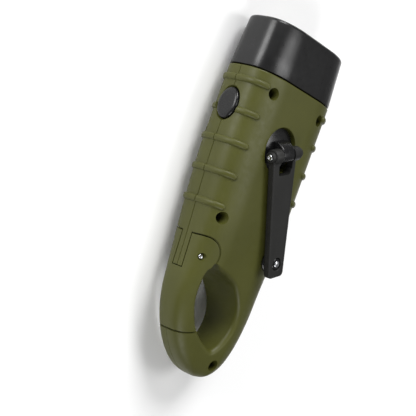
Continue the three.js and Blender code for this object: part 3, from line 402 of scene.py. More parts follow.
@dataclass(frozen=True)
class Metal(Finish):
    """A metal with fine drawn or turned lines.

    Attributes:
        name: The finish's name.
        colour: Its colour.
        roughness: Its middle roughness.
        lines: How deep its lines are.
        stretch: How much longer than wide the lines are.
        line_scale: How fine the lines are, in cells for each metre.
        line_height: How high they stand, in metres.
        cloud_scale: How fine the drift of its tone is.
        dull: How bright its darker tone is, as a share of its colour.
        smoothest: Its least roughness, as a share of the middle one.
        roughest: Its most roughness, as a share of the middle one.
    """

    name: str
    colour: Colour
    roughness: float
    lines: float = 0.2
    stretch: float = 14.0
    line_scale: float = 900.0
    line_height: float = 0.00003
    cloud_scale: float = 160.0
    dull: float = 0.72
    smoothest: float = 0.75
    roughest: float = 1.3

    def paint(self, nodes: "Nodes") -> None:
        """Wire the finish's nodes.

        Args:
            nodes: The tree to wire.
        """
        stretched = nodes.add("ShaderNodeMapping")
        stretched.inputs["Scale"].default_value = (1.0, 1.0, self.stretch)
        nodes.link(nodes.place, stretched.inputs["Vector"])
        lines = nodes.noise(stretched.outputs["Vector"], self.line_scale, detail=3.0, rough=0.6)
        cloud = nodes.noise(nodes.place, self.cloud_scale, detail=3.0, rough=0.5)
        dull = tuple(self.dull * part for part in self.colour)
        nodes.colour(cloud, ((0.3, dull), (0.65, self.colour)))
        nodes.level("Metallic", 1.0)
        nodes.roughness(lines, self.roughness * self.smoothest, self.roughness * self.roughest)
        nodes.bump(lines, self.lines, self.line_height)


@dataclass(frozen=True)
class ClearPlastic(Finish):
    """A clear moulded plastic with faint flow marks.

    Attributes:
        name: The finish's name.
        tint: The colour that it gives to what lies behind it.
        roughness: How much it blurs at least.
        drift: How much more it blurs at most.
        pale: How bright its paler tone is, as a share of its tint.
        bending: How strongly it bends light.
        flow_scale: How fine its flow marks are, in cells for each metre.
        flow: How much the flow marks show.
        flow_height: How high they stand, in metres.
    """

    name: str
    tint: Colour
    roughness: float
    drift: float = 0.03
    pale: float = 1.02
    bending: float = 1.49
    flow_scale: float = 90.0
    flow: float = 0.05
    flow_height: float = 0.0001

    def paint(self, nodes: "Nodes") -> None:
        """Wire the finish's nodes.

        Args:
            nodes: The tree to wire.
        """
        flow = nodes.noise(nodes.place, self.flow_scale, detail=2.0, rough=0.5)
        pale = tuple(min(1.0, self.pale * part) for part in self.tint)
        nodes.colour(flow, ((0.3, self.tint), (0.7, pale)))
        nodes.roughness(flow, self.roughness, self.roughness + self.drift)
        nodes.level("Transmission Weight", 1.0)
        nodes.level("IOR", self.bending)
        nodes.bump(flow, self.flow, self.flow_height)


class Nodes:
    """One material's node tree, with short calls for the nodes that the finishes share."""

    made: dict[str, bpy.types.Material] = {}
    noise_low: float = 0.3
    noise_high: float = 0.7

    def __init__(self, material: bpy.types.Material) -> None:
        """Start a tree with its own shader and output.

        Args:
            material: The material that the tree belongs to.
        """
        material.use_nodes = True
        self.tree = material.node_tree
        self.tree.nodes.clear()
        self.shader = self.add("ShaderNodeBsdfPrincipled")
        output = self.add("ShaderNodeOutputMaterial")
        self.link(self.shader.outputs["BSDF"], output.inputs["Surface"])
        self.place = self.add("ShaderNodeTexCoord").outputs["Object"]

    @classmethod
    def once(cls, name: str, paint: Callable[["Nodes"], None]) -> bpy.types.Material:
        """Give a named material, painting it the first time.

        Args:
            name: The material's name.
            paint: What wires its nodes.

        Returns:
            The material.
        """
        if name not in cls.made:
            material = bpy.data.materials.new(name)
            paint(cls(material))
            cls.made[name] = material
        return cls.made[name]

    def add(self, kind: str) -> bpy.types.Node:
        """Add a node of a kind."""
        return self.tree.nodes.new(kind)

    def link(self, start: Socket, end: Socket) -> None:
        """Link two sockets."""
        self.tree.links.new(start, end)

    def noise(self, place: Socket, scale: float, detail: float, rough: float) -> Socket:
        """Add a noise.

        Args:
            place: Where it is read.
            scale: How fine it is.
            detail: How many layers it has.
            rough: How strong its fine layers are.

        Returns:
            Its value.
        """
        made = self.add("ShaderNodeTexNoise")
        made.inputs["Scale"].default_value = scale
        made.inputs["Detail"].default_value = detail
        made.inputs["Roughness"].default_value = rough
        self.link(place, made.inputs["Vector"])
        return made.outputs["Fac"]

    def level(self, name: str, value: float) -> None:
        """Set one of the shader's own levels."""
        self.shader.inputs[name].default_value = value

    def colour(self, value: Socket, stops: Sequence[tuple[float, Colour]]) -> None:
        """Colour the surface by a value.

        Args:
            value: The value.
            stops: Two places on the ramp and their colours.
        """
        made = self.add("ShaderNodeValToRGB")
        for element, (place, colour) in zip(made.color_ramp.elements, stops):
            element.position = place
            element.color = (*colour, 1.0)
        self.link(value, made.inputs["Fac"])
        self.link(made.outputs["Color"], self.shader.inputs["Base Color"])

    def roughness(self, value: Socket, low: float, high: float) -> None:
        """Roughen the surface by a noise.

        Args:
            value: The noise's value.
            low: The roughness where the noise is low.
            high: The roughness where it is high.
        """
        made = self.add("ShaderNodeMapRange")
        made.inputs["From Min"].default_value = self.noise_low
        made.inputs["From Max"].default_value = self.noise_high
        made.inputs["To Min"].default_value = low
        made.inputs["To Max"].default_value = high
        self.link(value, made.inputs["Value"])
        self.link(made.outputs["Result"], self.shader.inputs["Roughness"])

    def bump(self, height: Socket, strength: float, distance: float) -> None:
        """Raise the surface by a value.

        Args:
            height: The value.
            strength: How much of it counts.
            distance: Its height, in metres.
        """
        made = self.add("ShaderNodeBump")
        made.inputs["Strength"].default_value = strength
        made.inputs["Distance"].default_value = distance
        self.link(height, made.inputs["Height"])
        self.link(made.outputs["Normal"], self.shader.inputs["Normal"])


OLIVE = Plastic(
    "olive_plastic", colour=(0.063, 0.065, 0.0115), deep=(0.054, 0.056, 0.0095),
    roughness=0.46, grain=0.20, specular=0.32,
)
BEZEL_BLACK = Plastic(
    "bezel_black", colour=(0.0080, 0.0080, 0.0082), deep=(0.0062, 0.0062, 0.0064),
    roughness=0.30, drift=0.03, grain=0.04, specular=0.46,
)
SATIN_BLACK = Plastic(
    "satin_black", colour=(0.0075, 0.0075, 0.0078), deep=(0.0058, 0.0058, 0.0060),
    roughness=0.27, grain=0.14, specular=0.4,
)
MATT_BLACK = Plastic(
    "matt_black", colour=(0.0170, 0.0168, 0.0160), deep=(0.0120, 0.0119, 0.0112),
    roughness=0.50, grain=0.25, specular=0.28,
)
DARK_PLASTIC = Plastic("dark_plastic", (0.018, 0.018, 0.019), (0.013, 0.013, 0.014), 0.5)
GEAR_PLASTIC = Plastic("natural_plastic", (0.66, 0.64, 0.55), (0.60, 0.57, 0.47), 0.45)
BOARD_GREEN = Plastic("solder_mask", (0.020, 0.120, 0.045), (0.012, 0.085, 0.030), 0.32, coat=0.4)
CELL_SLEEVE = Plastic("cell_sleeve", (0.035, 0.170, 0.340), (0.025, 0.130, 0.270), 0.30, coat=0.3)
WIRE_RED = Plastic("wire_red", (0.33, 0.020, 0.015), (0.26, 0.014, 0.010), 0.42)
EMITTER = Plastic(
    "emitter", colour=(0.86, 0.84, 0.55), deep=(0.80, 0.76, 0.42),
    roughness=0.12, grain=0.0, coat=0.6,
)
MIRROR_COAT = Metal("mirror_coat", (0.86, 0.87, 0.89), 0.07, lines=0.02)
BRIGHT_STEEL = Metal("bright_steel", (0.66, 0.67, 0.69), 0.24)
DARK_STEEL = Metal("dark_steel", (0.06, 0.06, 0.065), 0.42)
COPPER = Metal("copper_wire", (0.58, 0.22, 0.09), 0.35, lines=0.6)
BRASS = Metal("turned_brass", (0.60, 0.42, 0.16), 0.30)
FERRITE = Metal("ferrite", (0.09, 0.09, 0.095), 0.55)
LENS_CLEAR = ClearPlastic("lens_clear", (0.97, 0.98, 0.985), 0.01)


def dress(piece: Piece, finish: Finish) -> Piece:
    """Give a piece one finish.

    Args:
        piece: The piece.
        finish: The finish.

    Returns:
        The same piece.
    """
    piece.data.materials.clear()
    piece.data.materials.append(finish.material())
    return piece


def fit(piece: Piece, body: str, *nodes: str) -> None:
    """Let a piece ride on a body in place of its solids, and report it.

    Args:
        piece: The piece.
        body: The body that carries it.
        nodes: The solids that it stands for.
    """
    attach(piece, body)
    if nodes:
        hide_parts(*nodes)
    LOG.info("%s on %s, %d faces", piece.name, body, len(piece.data.polygons))


@dataclass
class BodyForm:
    """The outer form that the shells, the gate and the lamp head share, in millimetres."""

    joint_y: float = 47.7  # where the lamp head meets the body
    tail_y: float = -67.5
    head_length: float = 19.8
    head_share: float = 0.94  # the head's front, as a share of its back
    half_width: float = 25.0
    waist_half_width: float = 22.7
    waist_shift: float = 2.0  # how far the waist lies towards +X
    half_thickness: float = 12.0
    tail_half_thickness: float = 7.2
    crown: float = 0.35  # how much higher than the flat faces the section's curve would rise
    power: float = 3.0  # how square the section is, where 2 is an ellipse
    waist_top_y: float = 23.7  # where the body starts to narrow
    waist_length: float = 58.0  # how long the narrowing is
    taper_y: float = 0.0  # where the body starts to thin
    lean_y: float = -24.0  # where the tail starts to lean
    tail_lean: float = 6.4  # how far its tip has moved towards +X
    round_y: float = -34.0  # where the round tail starts
    tail_power: float = 4.0  # how square the tail is seen from the side
    least_half: float = 0.2  # the least half width that a height is read from
    seam_z: float = 12.0
    joint_gap: float = 0.45
    # Pairs of distance behind the joint and inset.
    front_edge: Profile = ((0.0, 0.30), (0.12, 0.08), (0.3, 0.0))
    body_start: float = 0.6  # where the even sections start, behind the joint
    body_steps: int = 96
    tail_steps: int = 40
    tail_share: float = 0.995  # how far the last section goes round the tail
    seam_width: float = 0.30
    seam_depth: float = 0.28
    # Heights of the points in the seam's groove, as shares.
    seam_shares: tuple[float, ...] = (0.0, 0.008, 0.016, 0.024)
    seam_clear: float = 0.03  # other points lie higher than this share
    crowding: float = 1.5  # how strongly the points crowd towards the seam
    rib_height: float = 0.86
    rib_half: float = 1.25
    rib_power: float = 2.4  # how square a rib's top is
    rib_root: float = 0.7  # how deep a rib is rooted in the skin
    rib_least: float = 0.03  # the half width of a rib's closed end
    rib_end_x: float = 17.7  # how far across the faces the ribs start
    rib_places: tuple[float, ...] = (42.6, 30.95, 19.3, 7.65, -4.0)
    rib_facets: int = 14
    rib_end_steps: int = 8
    rib_side_steps: int = 46
    fine_steps: int = 400  # how finely a flank is measured
    sides: int = 176
    hub: tuple[float, float] = (-1.6, 23.7)  # the crank's middle, across and along
    gate_pin: tuple[float, float] = (-17.8, -23.3)  # the gate pin, across and along
    button_y: float = 32.6

    def waist_share_at(self, y: float) -> float:
        """Give how much of the waist a place along the body has."""
        return smooth_step((self.waist_top_y - y) / self.waist_length)

    def tail_share_at(self, y: float) -> float:
        """Give how far a place lies into the round tail."""
        return max(0.0, (self.round_y - y) / (self.round_y - self.tail_y))

    def half_width_at(self, y: float) -> float:
        """Give the half width at a place along the body.

        Args:
            y: The place along the body.

        Returns:
            The half width.
        """
        width = self.half_width + (self.waist_half_width - self.half_width) * self.waist_share_at(y)
        t = self.tail_share_at(y)
        return width * math.sqrt(max(0.0, 1.0 - t * t))

    def half_thickness_at(self, y: float) -> float:
        """Give the half thickness at a place along the body.

        Args:
            y: The place along the body.

        Returns:
            The half thickness.
        """
        taper = smooth_step((self.taper_y - y) / (self.taper_y - self.tail_y))
        thick = self.half_thickness + (self.tail_half_thickness - self.half_thickness) * taper
        power = self.tail_power
        return thick * max(0.0, 1.0 - self.tail_share_at(y) ** power) ** (1.0 / power)

    def lean_at(self, y: float) -> float:
        """Give how far the body's middle has moved sideways at a place."""
        share = max(0.0, (self.lean_y - y) / (self.lean_y - self.tail_y))
        return self.waist_shift * self.waist_share_at(y) + self.tail_lean * share * share

    def surface_height(self, x: float, y: float) -> float:
        """Give the face's height above the seam at a place.

        Args:
            x: The place across the body.
            y: The place along the body.

        Returns:
            The height.
        """
        half = self.half_thickness_at(y)
        width = max(self.least_half, self.half_width_at(y))
        share = min(1.0, abs(x - self.lean_at(y)) / width)
        return min(half, (half + self.crown) * (1.0 - share**self.power) ** (1.0 / self.power))

    def turns(self) -> Outline:
        """Give the section's points as shares of its half width and half thickness.

        Returns:
            Pairs of share across and share up, anticlockwise from the +X side.
        """
        turns = quarter_turns(self.sides // 4)[2:]
        wide = [up**self.crowding for _, up in turns]
        clear = [round(height, 5) for height in wide if height > self.seam_clear]
        heights = [*self.seam_shares, *sorted(set(clear))]
        upper = [((1.0 - h**self.power) ** (1.0 / self.power), h) for h in heights]
        right = upper + [(-x, h) for x, h in reversed(upper[:-1])]
        return right + [(-x, -h) for x, h in right[1:-1]]

    def ring(self, y: float, inset: float = 0.0, seam: bool = False) -> Ring:
        """Give one section of the body.

        Args:
            y: The place along the body.
            inset: How far it lies inside the skin.
            seam: Whether the seam's groove sinks it.

        Returns:
            The section's points.
        """
        half, thick = self.half_width_at(y) - inset, self.half_thickness_at(y) - inset
        lean = self.lean_at(y)
        groove = self.seam_depth if seam else 0.0
        ring: Ring = []
        for across, up in self.turns():
            height = max(-thick, min(thick, (thick + self.crown) * up))
            sunk = groove * max(0.0, 1.0 - abs(height) / (0.5 * self.seam_width))
            ring.append((lean + (half - sunk) * across, y, self.seam_z + height))
        return ring

    def button_oval(self, x: float, half_length: float, half_height: float, sides: int) -> Ring:
        """Give an upright oval round the button's middle.

        Args:
            x: The place across the body.
            half_length: The oval's half length along the body.
            half_height: Its half height.
            sides: How many points it has.

        Returns:
            The oval's points.
        """
        ring: Ring = []
        for i in range(sides):
            turn = 2.0 * math.pi * i / sides
            y = self.button_y + half_length * math.cos(turn)
            ring.append((x, y, self.seam_z + half_height * math.sin(turn)))
        return ring

    def skin(self, name: str, seam: bool = True, inset: float = 0.0) -> Piece:
        """Make the whole outer form.

        Args:
            name: The object's name.
            seam: Whether it has the groove where the two shells meet.
            inset: How far it lies inside the real skin.

        Returns:
            The solid.
        """
        front = self.joint_y - 0.5 * self.joint_gap
        rings = [self.ring(front - back, inset + edge, seam) for back, edge in self.front_edge]
        start = front - self.body_start
        for i in range(self.body_steps + 1):
            y = start + (self.round_y - start) * i / self.body_steps
            rings.append(self.ring(y, inset, seam))
        span = self.round_y - self.tail_y
        for i in range(1, self.tail_steps + 1):
            turn = 0.5 * math.pi * self.tail_share * i / self.tail_steps
            rings.append(self.ring(self.round_y - span * math.sin(turn), inset, seam))
        return loft(name, rings)

    def flank(self, y: float, side: int) -> list[tuple[float, Vector, Vector]]:
        """Give points round one narrow side, from a rib's end to the seam.

        Args:
            y: The place along the body.
            side: Which narrow side, as -1 or 1.

        Returns:
            For each point, how far it lies inside the rib's round end, its place across and up,
            and the way out.
        """
        half, thick, lean = self.half_width_at(y), self.half_thickness_at(y), self.lean_at(y)
        inner = self.rib_end_x - side * lean
        fine: list[Vector] = []
        for i in range(self.fine_steps + 1):
            across = inner + (half - inner) * math.sin(0.5 * math.pi * i / self.fine_steps)
            level = max(0.0, 1.0 - (across / half) ** self.power) ** (1.0 / self.power)
            fine.append(Vector((lean + side * across, min(thick, (thick + self.crown) * level))))
        lengths = [0.0]
        for a, b in zip(fine, fine[1:]):
            lengths.append(lengths[-1] + (b - a).length)
        end, whole, steps = self.rib_half, lengths[-1], self.rib_side_steps
        straight = whole - 0.5 * self.seam_width - end
        wanted = [end * (1.0 - c) for c, _ in quarter_turns(self.rib_end_steps)[:-1]]
        wanted += [end + straight * i / steps for i in range(steps + 1)] + [whole]
        points: list[tuple[float, Vector, Vector]] = []
        at = 0
        for place in wanted:
            while at < len(lengths) - 2 and lengths[at + 1] < place:
                at += 1
            share = min(1.0, (place - lengths[at]) / (lengths[at + 1] - lengths[at]))
            along = (fine[at + 1] - fine[at]).normalized()
            out = Vector((-along.y, along.x)) * side
            points.append((max(0.0, end - place), fine[at].lerp(fine[at + 1], share), out))
        return points

    def rib(self, place: float, side: int) -> Piece:
        """Make one grip rib, a round-topped bar that wraps a narrow side.

        Args:
            place: Its place along the body.
            side: Which narrow side, as -1 or 1.

        Returns:
            The bar, rooted in the skin.
        """
        r, facets = self.rib_half, self.rib_facets
        low, middle, high = (self.flank(place + shift, side) for shift in (-r, 0.0, r))
        last = len(middle) - 1
        rings: list[Ring] = []
        for turn, order in ((1, range(last + 1)), (-1, range(last - 1, -1, -1))):
            for i in order:
                past, point, out = middle[i]
                half = max(self.rib_least, math.sqrt(max(0.0, r * r - past * past)))
                marks = []
                for j in range(facets + 1):
                    along = -half * math.cos(math.pi * j / facets)
                    reach = min(1.0, math.hypot(along, past) / r)
                    rise = self.rib_height * math.sqrt(1.0 - reach**self.rib_power)
                    marks.append((along, -self.seam_depth if i == last else rise))
                marks += [(half, -self.rib_root), (-half, -self.rib_root)]
                ring: Ring = []
                for along, rise in marks:
                    near = (high if along > 0.0 else low)[i][1]
                    spot = point + (near - point) * (abs(along) / r) + out * rise
                    ring.append((spot.x, place + along, self.seam_z + turn * spot.y))
                rings.append(ring if side < 0 else ring[::-1])
        return loft("rib", rings)


def head_ring(form: BodyForm, y: float, inset: float) -> Ring:
    """Give one section of the lamp head, which narrows towards its front.

    Args:
        form: The body's form.
        y: The place along the head.
        inset: How far it lies inside the head's skin.

    Returns:
        The section's points.
    """
    share = 1.0 + (form.head_share - 1.0) * max(0.0, (y - form.joint_y) / form.head_length)
    half, thick = form.half_width * share - inset, form.half_thickness * share - inset
    ring: Ring = []
    for across, up in form.turns():
        height = max(-thick, min(thick, (thick + form.crown) * up))
        ring.append((half * across, y, form.seam_z + height))
    return ring


@dataclass
class Loop:
    """The opening of the carabiner tail, its edges rounded over at both faces, in millimetres."""

    form: BodyForm
    half_width: float = 15.0
    half_length: float = 16.6
    centre_y: float = -40.9
    round_over: float = 2.0  # how far the edges are rounded over
    sharp_reach: float = 5.0  # the edges stay sharp this near the gate's pin
    fade_length: float = 7.0  # how long the rounding takes to grow from there
    overshoot: float = 20.0  # how far the cutter stands out of both faces
    curve_steps: int = 40
    samples: int = 170
    levels: int = 9  # stretches across the rounding
    # The edge's marks, as shares of the half width and half length.
    edge_shares: Profile = (
        (-0.453, 0.994), (-0.82, 1.018), (-0.867, 0.904), (-0.94, 0.825), (-0.987, 0.572),
        (-0.975, 0.295), (-0.91, 0.048), (-0.765, -0.225), (-0.53, -0.53), (-0.28, -0.72),
        (0.147, -0.93), (0.507, -1.01), (0.733, -0.865), (0.927, -0.56), (1.0, -0.187),
        (0.86, 0.235), (0.46, 0.663), (0.247, 0.8), (-0.113, 0.922),
    )

    def edge(self) -> list[Vector]:
        """Give evenly spaced points round the opening's edge on the faces.

        Returns:
            The points.
        """
        marks = [
            Vector((x * self.half_width, self.centre_y + y * self.half_length))
            for x, y in self.edge_shares
        ]
        fine: list[Vector] = []
        count = len(marks)
        for i in range(count):
            near = [marks[(i + k) % count] for k in (-1, 0, 1, 2)]
            shares = [step / self.curve_steps for step in range(self.curve_steps)]
            fine += [self.between(*near, share) for share in shares]
        lengths = [0.0]
        for a, b in zip(fine, fine[1:] + fine[:1]):
            lengths.append(lengths[-1] + (b - a).length)
        total = lengths[-1]
        points: list[Vector] = []
        at = 0
        for i in range(self.samples):
            wanted = total * i / self.samples
            while lengths[at + 1] < wanted:
                at += 1
            share = (wanted - lengths[at]) / (lengths[at + 1] - lengths[at])
            points.append(fine[at].lerp(fine[(at + 1) % len(fine)], share))
        return points

    @staticmethod
    def between(before: Vector, start: Vector, end: Vector, after: Vector, share: float) -> Vector:
        """Give a point on the smooth curve between two marks.

        Args:
            before: The mark before the stretch.
            start: The stretch's first mark.
            end: The stretch's last mark.
            after: The mark after the stretch.
            share: How far along the stretch the point lies.

        Returns:
            The point, on a curve that runs smoothly through every mark.
        """
        knots = [0.0]
        for a, b in ((before, start), (start, end), (end, after)):
            knots.append(knots[-1] + (b - a).length ** 0.5)
        t0, t1, t2, t3 = knots
        t = t1 + (t2 - t1) * share
        first = before.lerp(start, (t - t0) / (t1 - t0))
        second = start.lerp(end, (t - t1) / (t2 - t1))
        third = end.lerp(after, (t - t2) / (t3 - t2))
        low = first.lerp(second, (t - t0) / (t2 - t0))
        high = second.lerp(third, (t - t1) / (t3 - t1))
        return low.lerp(high, share)

    def cutter(self) -> Piece:
        """Make the solid that cuts the opening.

        Returns:
            The cutter.
        """
        edge = self.edge()
        count = len(edge)
        inward = []
        for i in range(count):
            along = edge[(i + 1) % count] - edge[i - 1]
            inward.append(Vector((-along.y, along.x)).normalized())
        rings: list[Ring] = []
        pin = Vector(self.form.gate_pin)
        steps = [s for _, s in quarter_turns(self.levels)]
        order = [(-1, 1.0, self.overshoot)] + [(-1, s, 0.0) for s in reversed(steps)]
        order += [(1, s, 0.0) for s in steps] + [(1, 1.0, self.overshoot)]
        for side, level, extra in order:
            ring: Ring = []
            for point, way in zip(edge, inward):
                past = (point - pin).length - self.sharp_reach
                fade = self.round_over * smooth_step(past / self.fade_length)
                place = point + way * fade * math.sqrt(max(0.0, 1.0 - level * level))
                height = self.form.surface_height(point.x, point.y) - fade + fade * level + extra
                ring.append((place.x, place.y, self.form.seam_z + side * height))
            rings.append(ring)
        return loft("loop_cutter", rings)


@dataclass
class Gate:
    """The carabiner's sprung gate and the pocket and tongue that it turns in, in millimetres."""

    form: BodyForm
    loop: Loop
    eye: float = 5.8  # the radius of its round end
    eye_growth: float = 0.16  # how fast that radius grows towards the flank
    # The directions that the round end spans, in degrees.
    eye_arc: tuple[float, float] = (-40.0, 122.0)
    eye_steps: int = 60
    reach: float = 28.9  # from the pin to the gate's foot
    foot_arc: tuple[float, float] = (-125.0, -58.0)  # the directions that the foot spans
    foot_steps: int = 40
    neck_angle: float = -45.0  # where the round end runs into the gate's arm
    neck: float = 8.99  # how far from the pin that is
    outer: float = 20.0  # how far past the flank the block goes
    gap: float = 0.40  # the room round the gate
    sunk_edge: float = 0.28  # how far the body's edge lies lower beside the gap
    edge_round: float = 0.42
    edge_angle: float = 40.0
    tongue_half: float = 2.2  # half the tongue's thickness
    tongue: float = 4.4  # the tongue's radius
    tongue_growth: float = 0.45  # how fast that radius grows past its swell
    tongue_start: float = -150.0  # the first direction of the tongue's edge, in degrees
    tongue_swell: float = -60.0  # where the tongue starts to widen
    tongue_end: float = -33.0  # where its shoulder turns outwards
    tongue_steps: int = 50
    shoulder: float = 9.0  # how far from the pin the shoulder reaches
    bore: float = 1.42
    bore_past: float = 6.0  # how far the bore's cutter stands out of the faces
    pin_radius: float = 1.05
    pin_sink: float = 0.7  # how deep the pin's ends lie

    @property
    def pin(self) -> tuple[float, float]:
        """Give the gate pin's place across and along the body."""
        return self.form.gate_pin

    def round_pin(
        self, start: float, end: float, steps: int, radius: Callable[[float], float]
    ) -> Outline:
        """Give points on a curve round the pin.

        Args:
            start: The first angle, in degrees.
            end: The last angle, in degrees.
            steps: How many stretches the curve has, or 0 for one point.
            radius: The radius for an angle in radians.

        Returns:
            The points.
        """
        x, y = self.pin
        points: Outline = []
        for i in range(steps + 1):
            angle = math.radians(start + (end - start) * i / max(1, steps))
            reach = radius(angle)
            points.append((x + reach * math.cos(angle), y + reach * math.sin(angle)))
        return points

    def outline(self, grow: float) -> Piece:
        """Make the gate's outline as a tall block.

        Args:
            grow: How much larger than the gate it is.

        Returns:
            The block.
        """
        def radius(angle: float) -> float:
            """Give the eye's radius, which grows towards the flank."""
            return self.eye * (1 + self.eye_growth * max(0.0, angle)) + grow

        eye = self.round_pin(*self.eye_arc, self.eye_steps, radius)
        foot = self.round_pin(*self.foot_arc, self.foot_steps, lambda angle: self.reach + grow)
        neck = self.round_pin(self.neck_angle, self.neck_angle, 0, lambda angle: self.neck)
        outer = self.pin[0] - self.outer
        points = eye + [(outer, eye[-1][1]), (outer, foot[0][1])] + foot + neck
        return prism("gate_block", points, BELOW_ALL, ABOVE_ALL)

    def tongue_block(self, grow: float, shoulder_angle: float) -> Piece:
        """Make the body's tongue, or the slot for it.

        Args:
            grow: How much larger than the tongue it is.
            shoulder_angle: Where its lower edge turns outwards, in degrees.

        Returns:
            The block.
        """
        def radius(angle: float) -> float:
            """Give the tongue's radius, which grows towards the flank."""
            past = max(0.0, math.radians(self.tongue_swell) - angle)
            return self.tongue * (1.0 + self.tongue_growth * past * past) + grow

        x, y = self.pin
        edge = self.round_pin(self.tongue_start, shoulder_angle, self.tongue_steps, radius)
        shoulder = self.round_pin(shoulder_angle, shoulder_angle, 0, lambda angle: self.shoulder)[0]
        side, outer, top = x + self.shoulder, x - self.outer, y + self.outer
        points = edge + [shoulder, (side, shoulder[1]), (side, top), (outer, top)]
        points.append((outer, edge[0][1]))
        half = self.tongue_half + grow
        return prism("tongue_block", points, self.form.seam_z - half, self.form.seam_z + half)

    def pocket(self) -> Piece:
        """Make the solid that cuts the gate's pocket and leaves the tongue."""
        tongue = self.tongue_block(0.0, self.tongue_end)
        return combine(self.outline(self.gap), Operation.CUT, tongue)

    def sunk_edge_cutter(self) -> Piece:
        """Make the solid that sinks the body's edge round the pocket, short of the tongue.

        Returns:
            The cutter.
        """
        block = self.outline(self.gap + self.sunk_edge)
        under = self.form.skin("edge_limit", seam=False, inset=self.sunk_edge)
        return combine(block, Operation.CUT, self.tongue_block(0.0, self.tongue_end), under)

    def bore_cutter(self) -> Piece:
        """Make the solid that cuts the pin's holes."""
        high = self.form.surface_height(*self.pin) + self.bore_past
        return lathe("pin_bore", [(self.bore, -high), (self.bore, high)], self.pin_middle())

    def pin_middle(self) -> Point:
        """Give the pin's place at the seam's height."""
        return (*self.pin, self.form.seam_z)

    def build(self) -> None:
        """Build and dress the gate and its pin."""
        gate = self.form.skin("gate", seam=False)
        combine(gate, Operation.KEEP, self.outline(0.0))
        slot = self.tongue_block(self.gap, self.tongue_swell)
        combine(gate, Operation.CUT, slot, self.loop.cutter(), self.bore_cutter())
        round_edges(gate, self.edge_round, self.edge_angle)
        dress(shade(gate), OLIVE)
        fit(gate, "gate", "carabiner_gate")
        half = self.form.surface_height(*self.pin) - self.pin_sink
        profile = riveted(self.pin_radius, -half, half)
        pin = lathe("gate_pivot_pin", profile, self.pin_middle(), sides=PIN_SIDES)
        dress(shade(pin), BRIGHT_STEEL)
        fit(pin, "housing", "gate_pin")


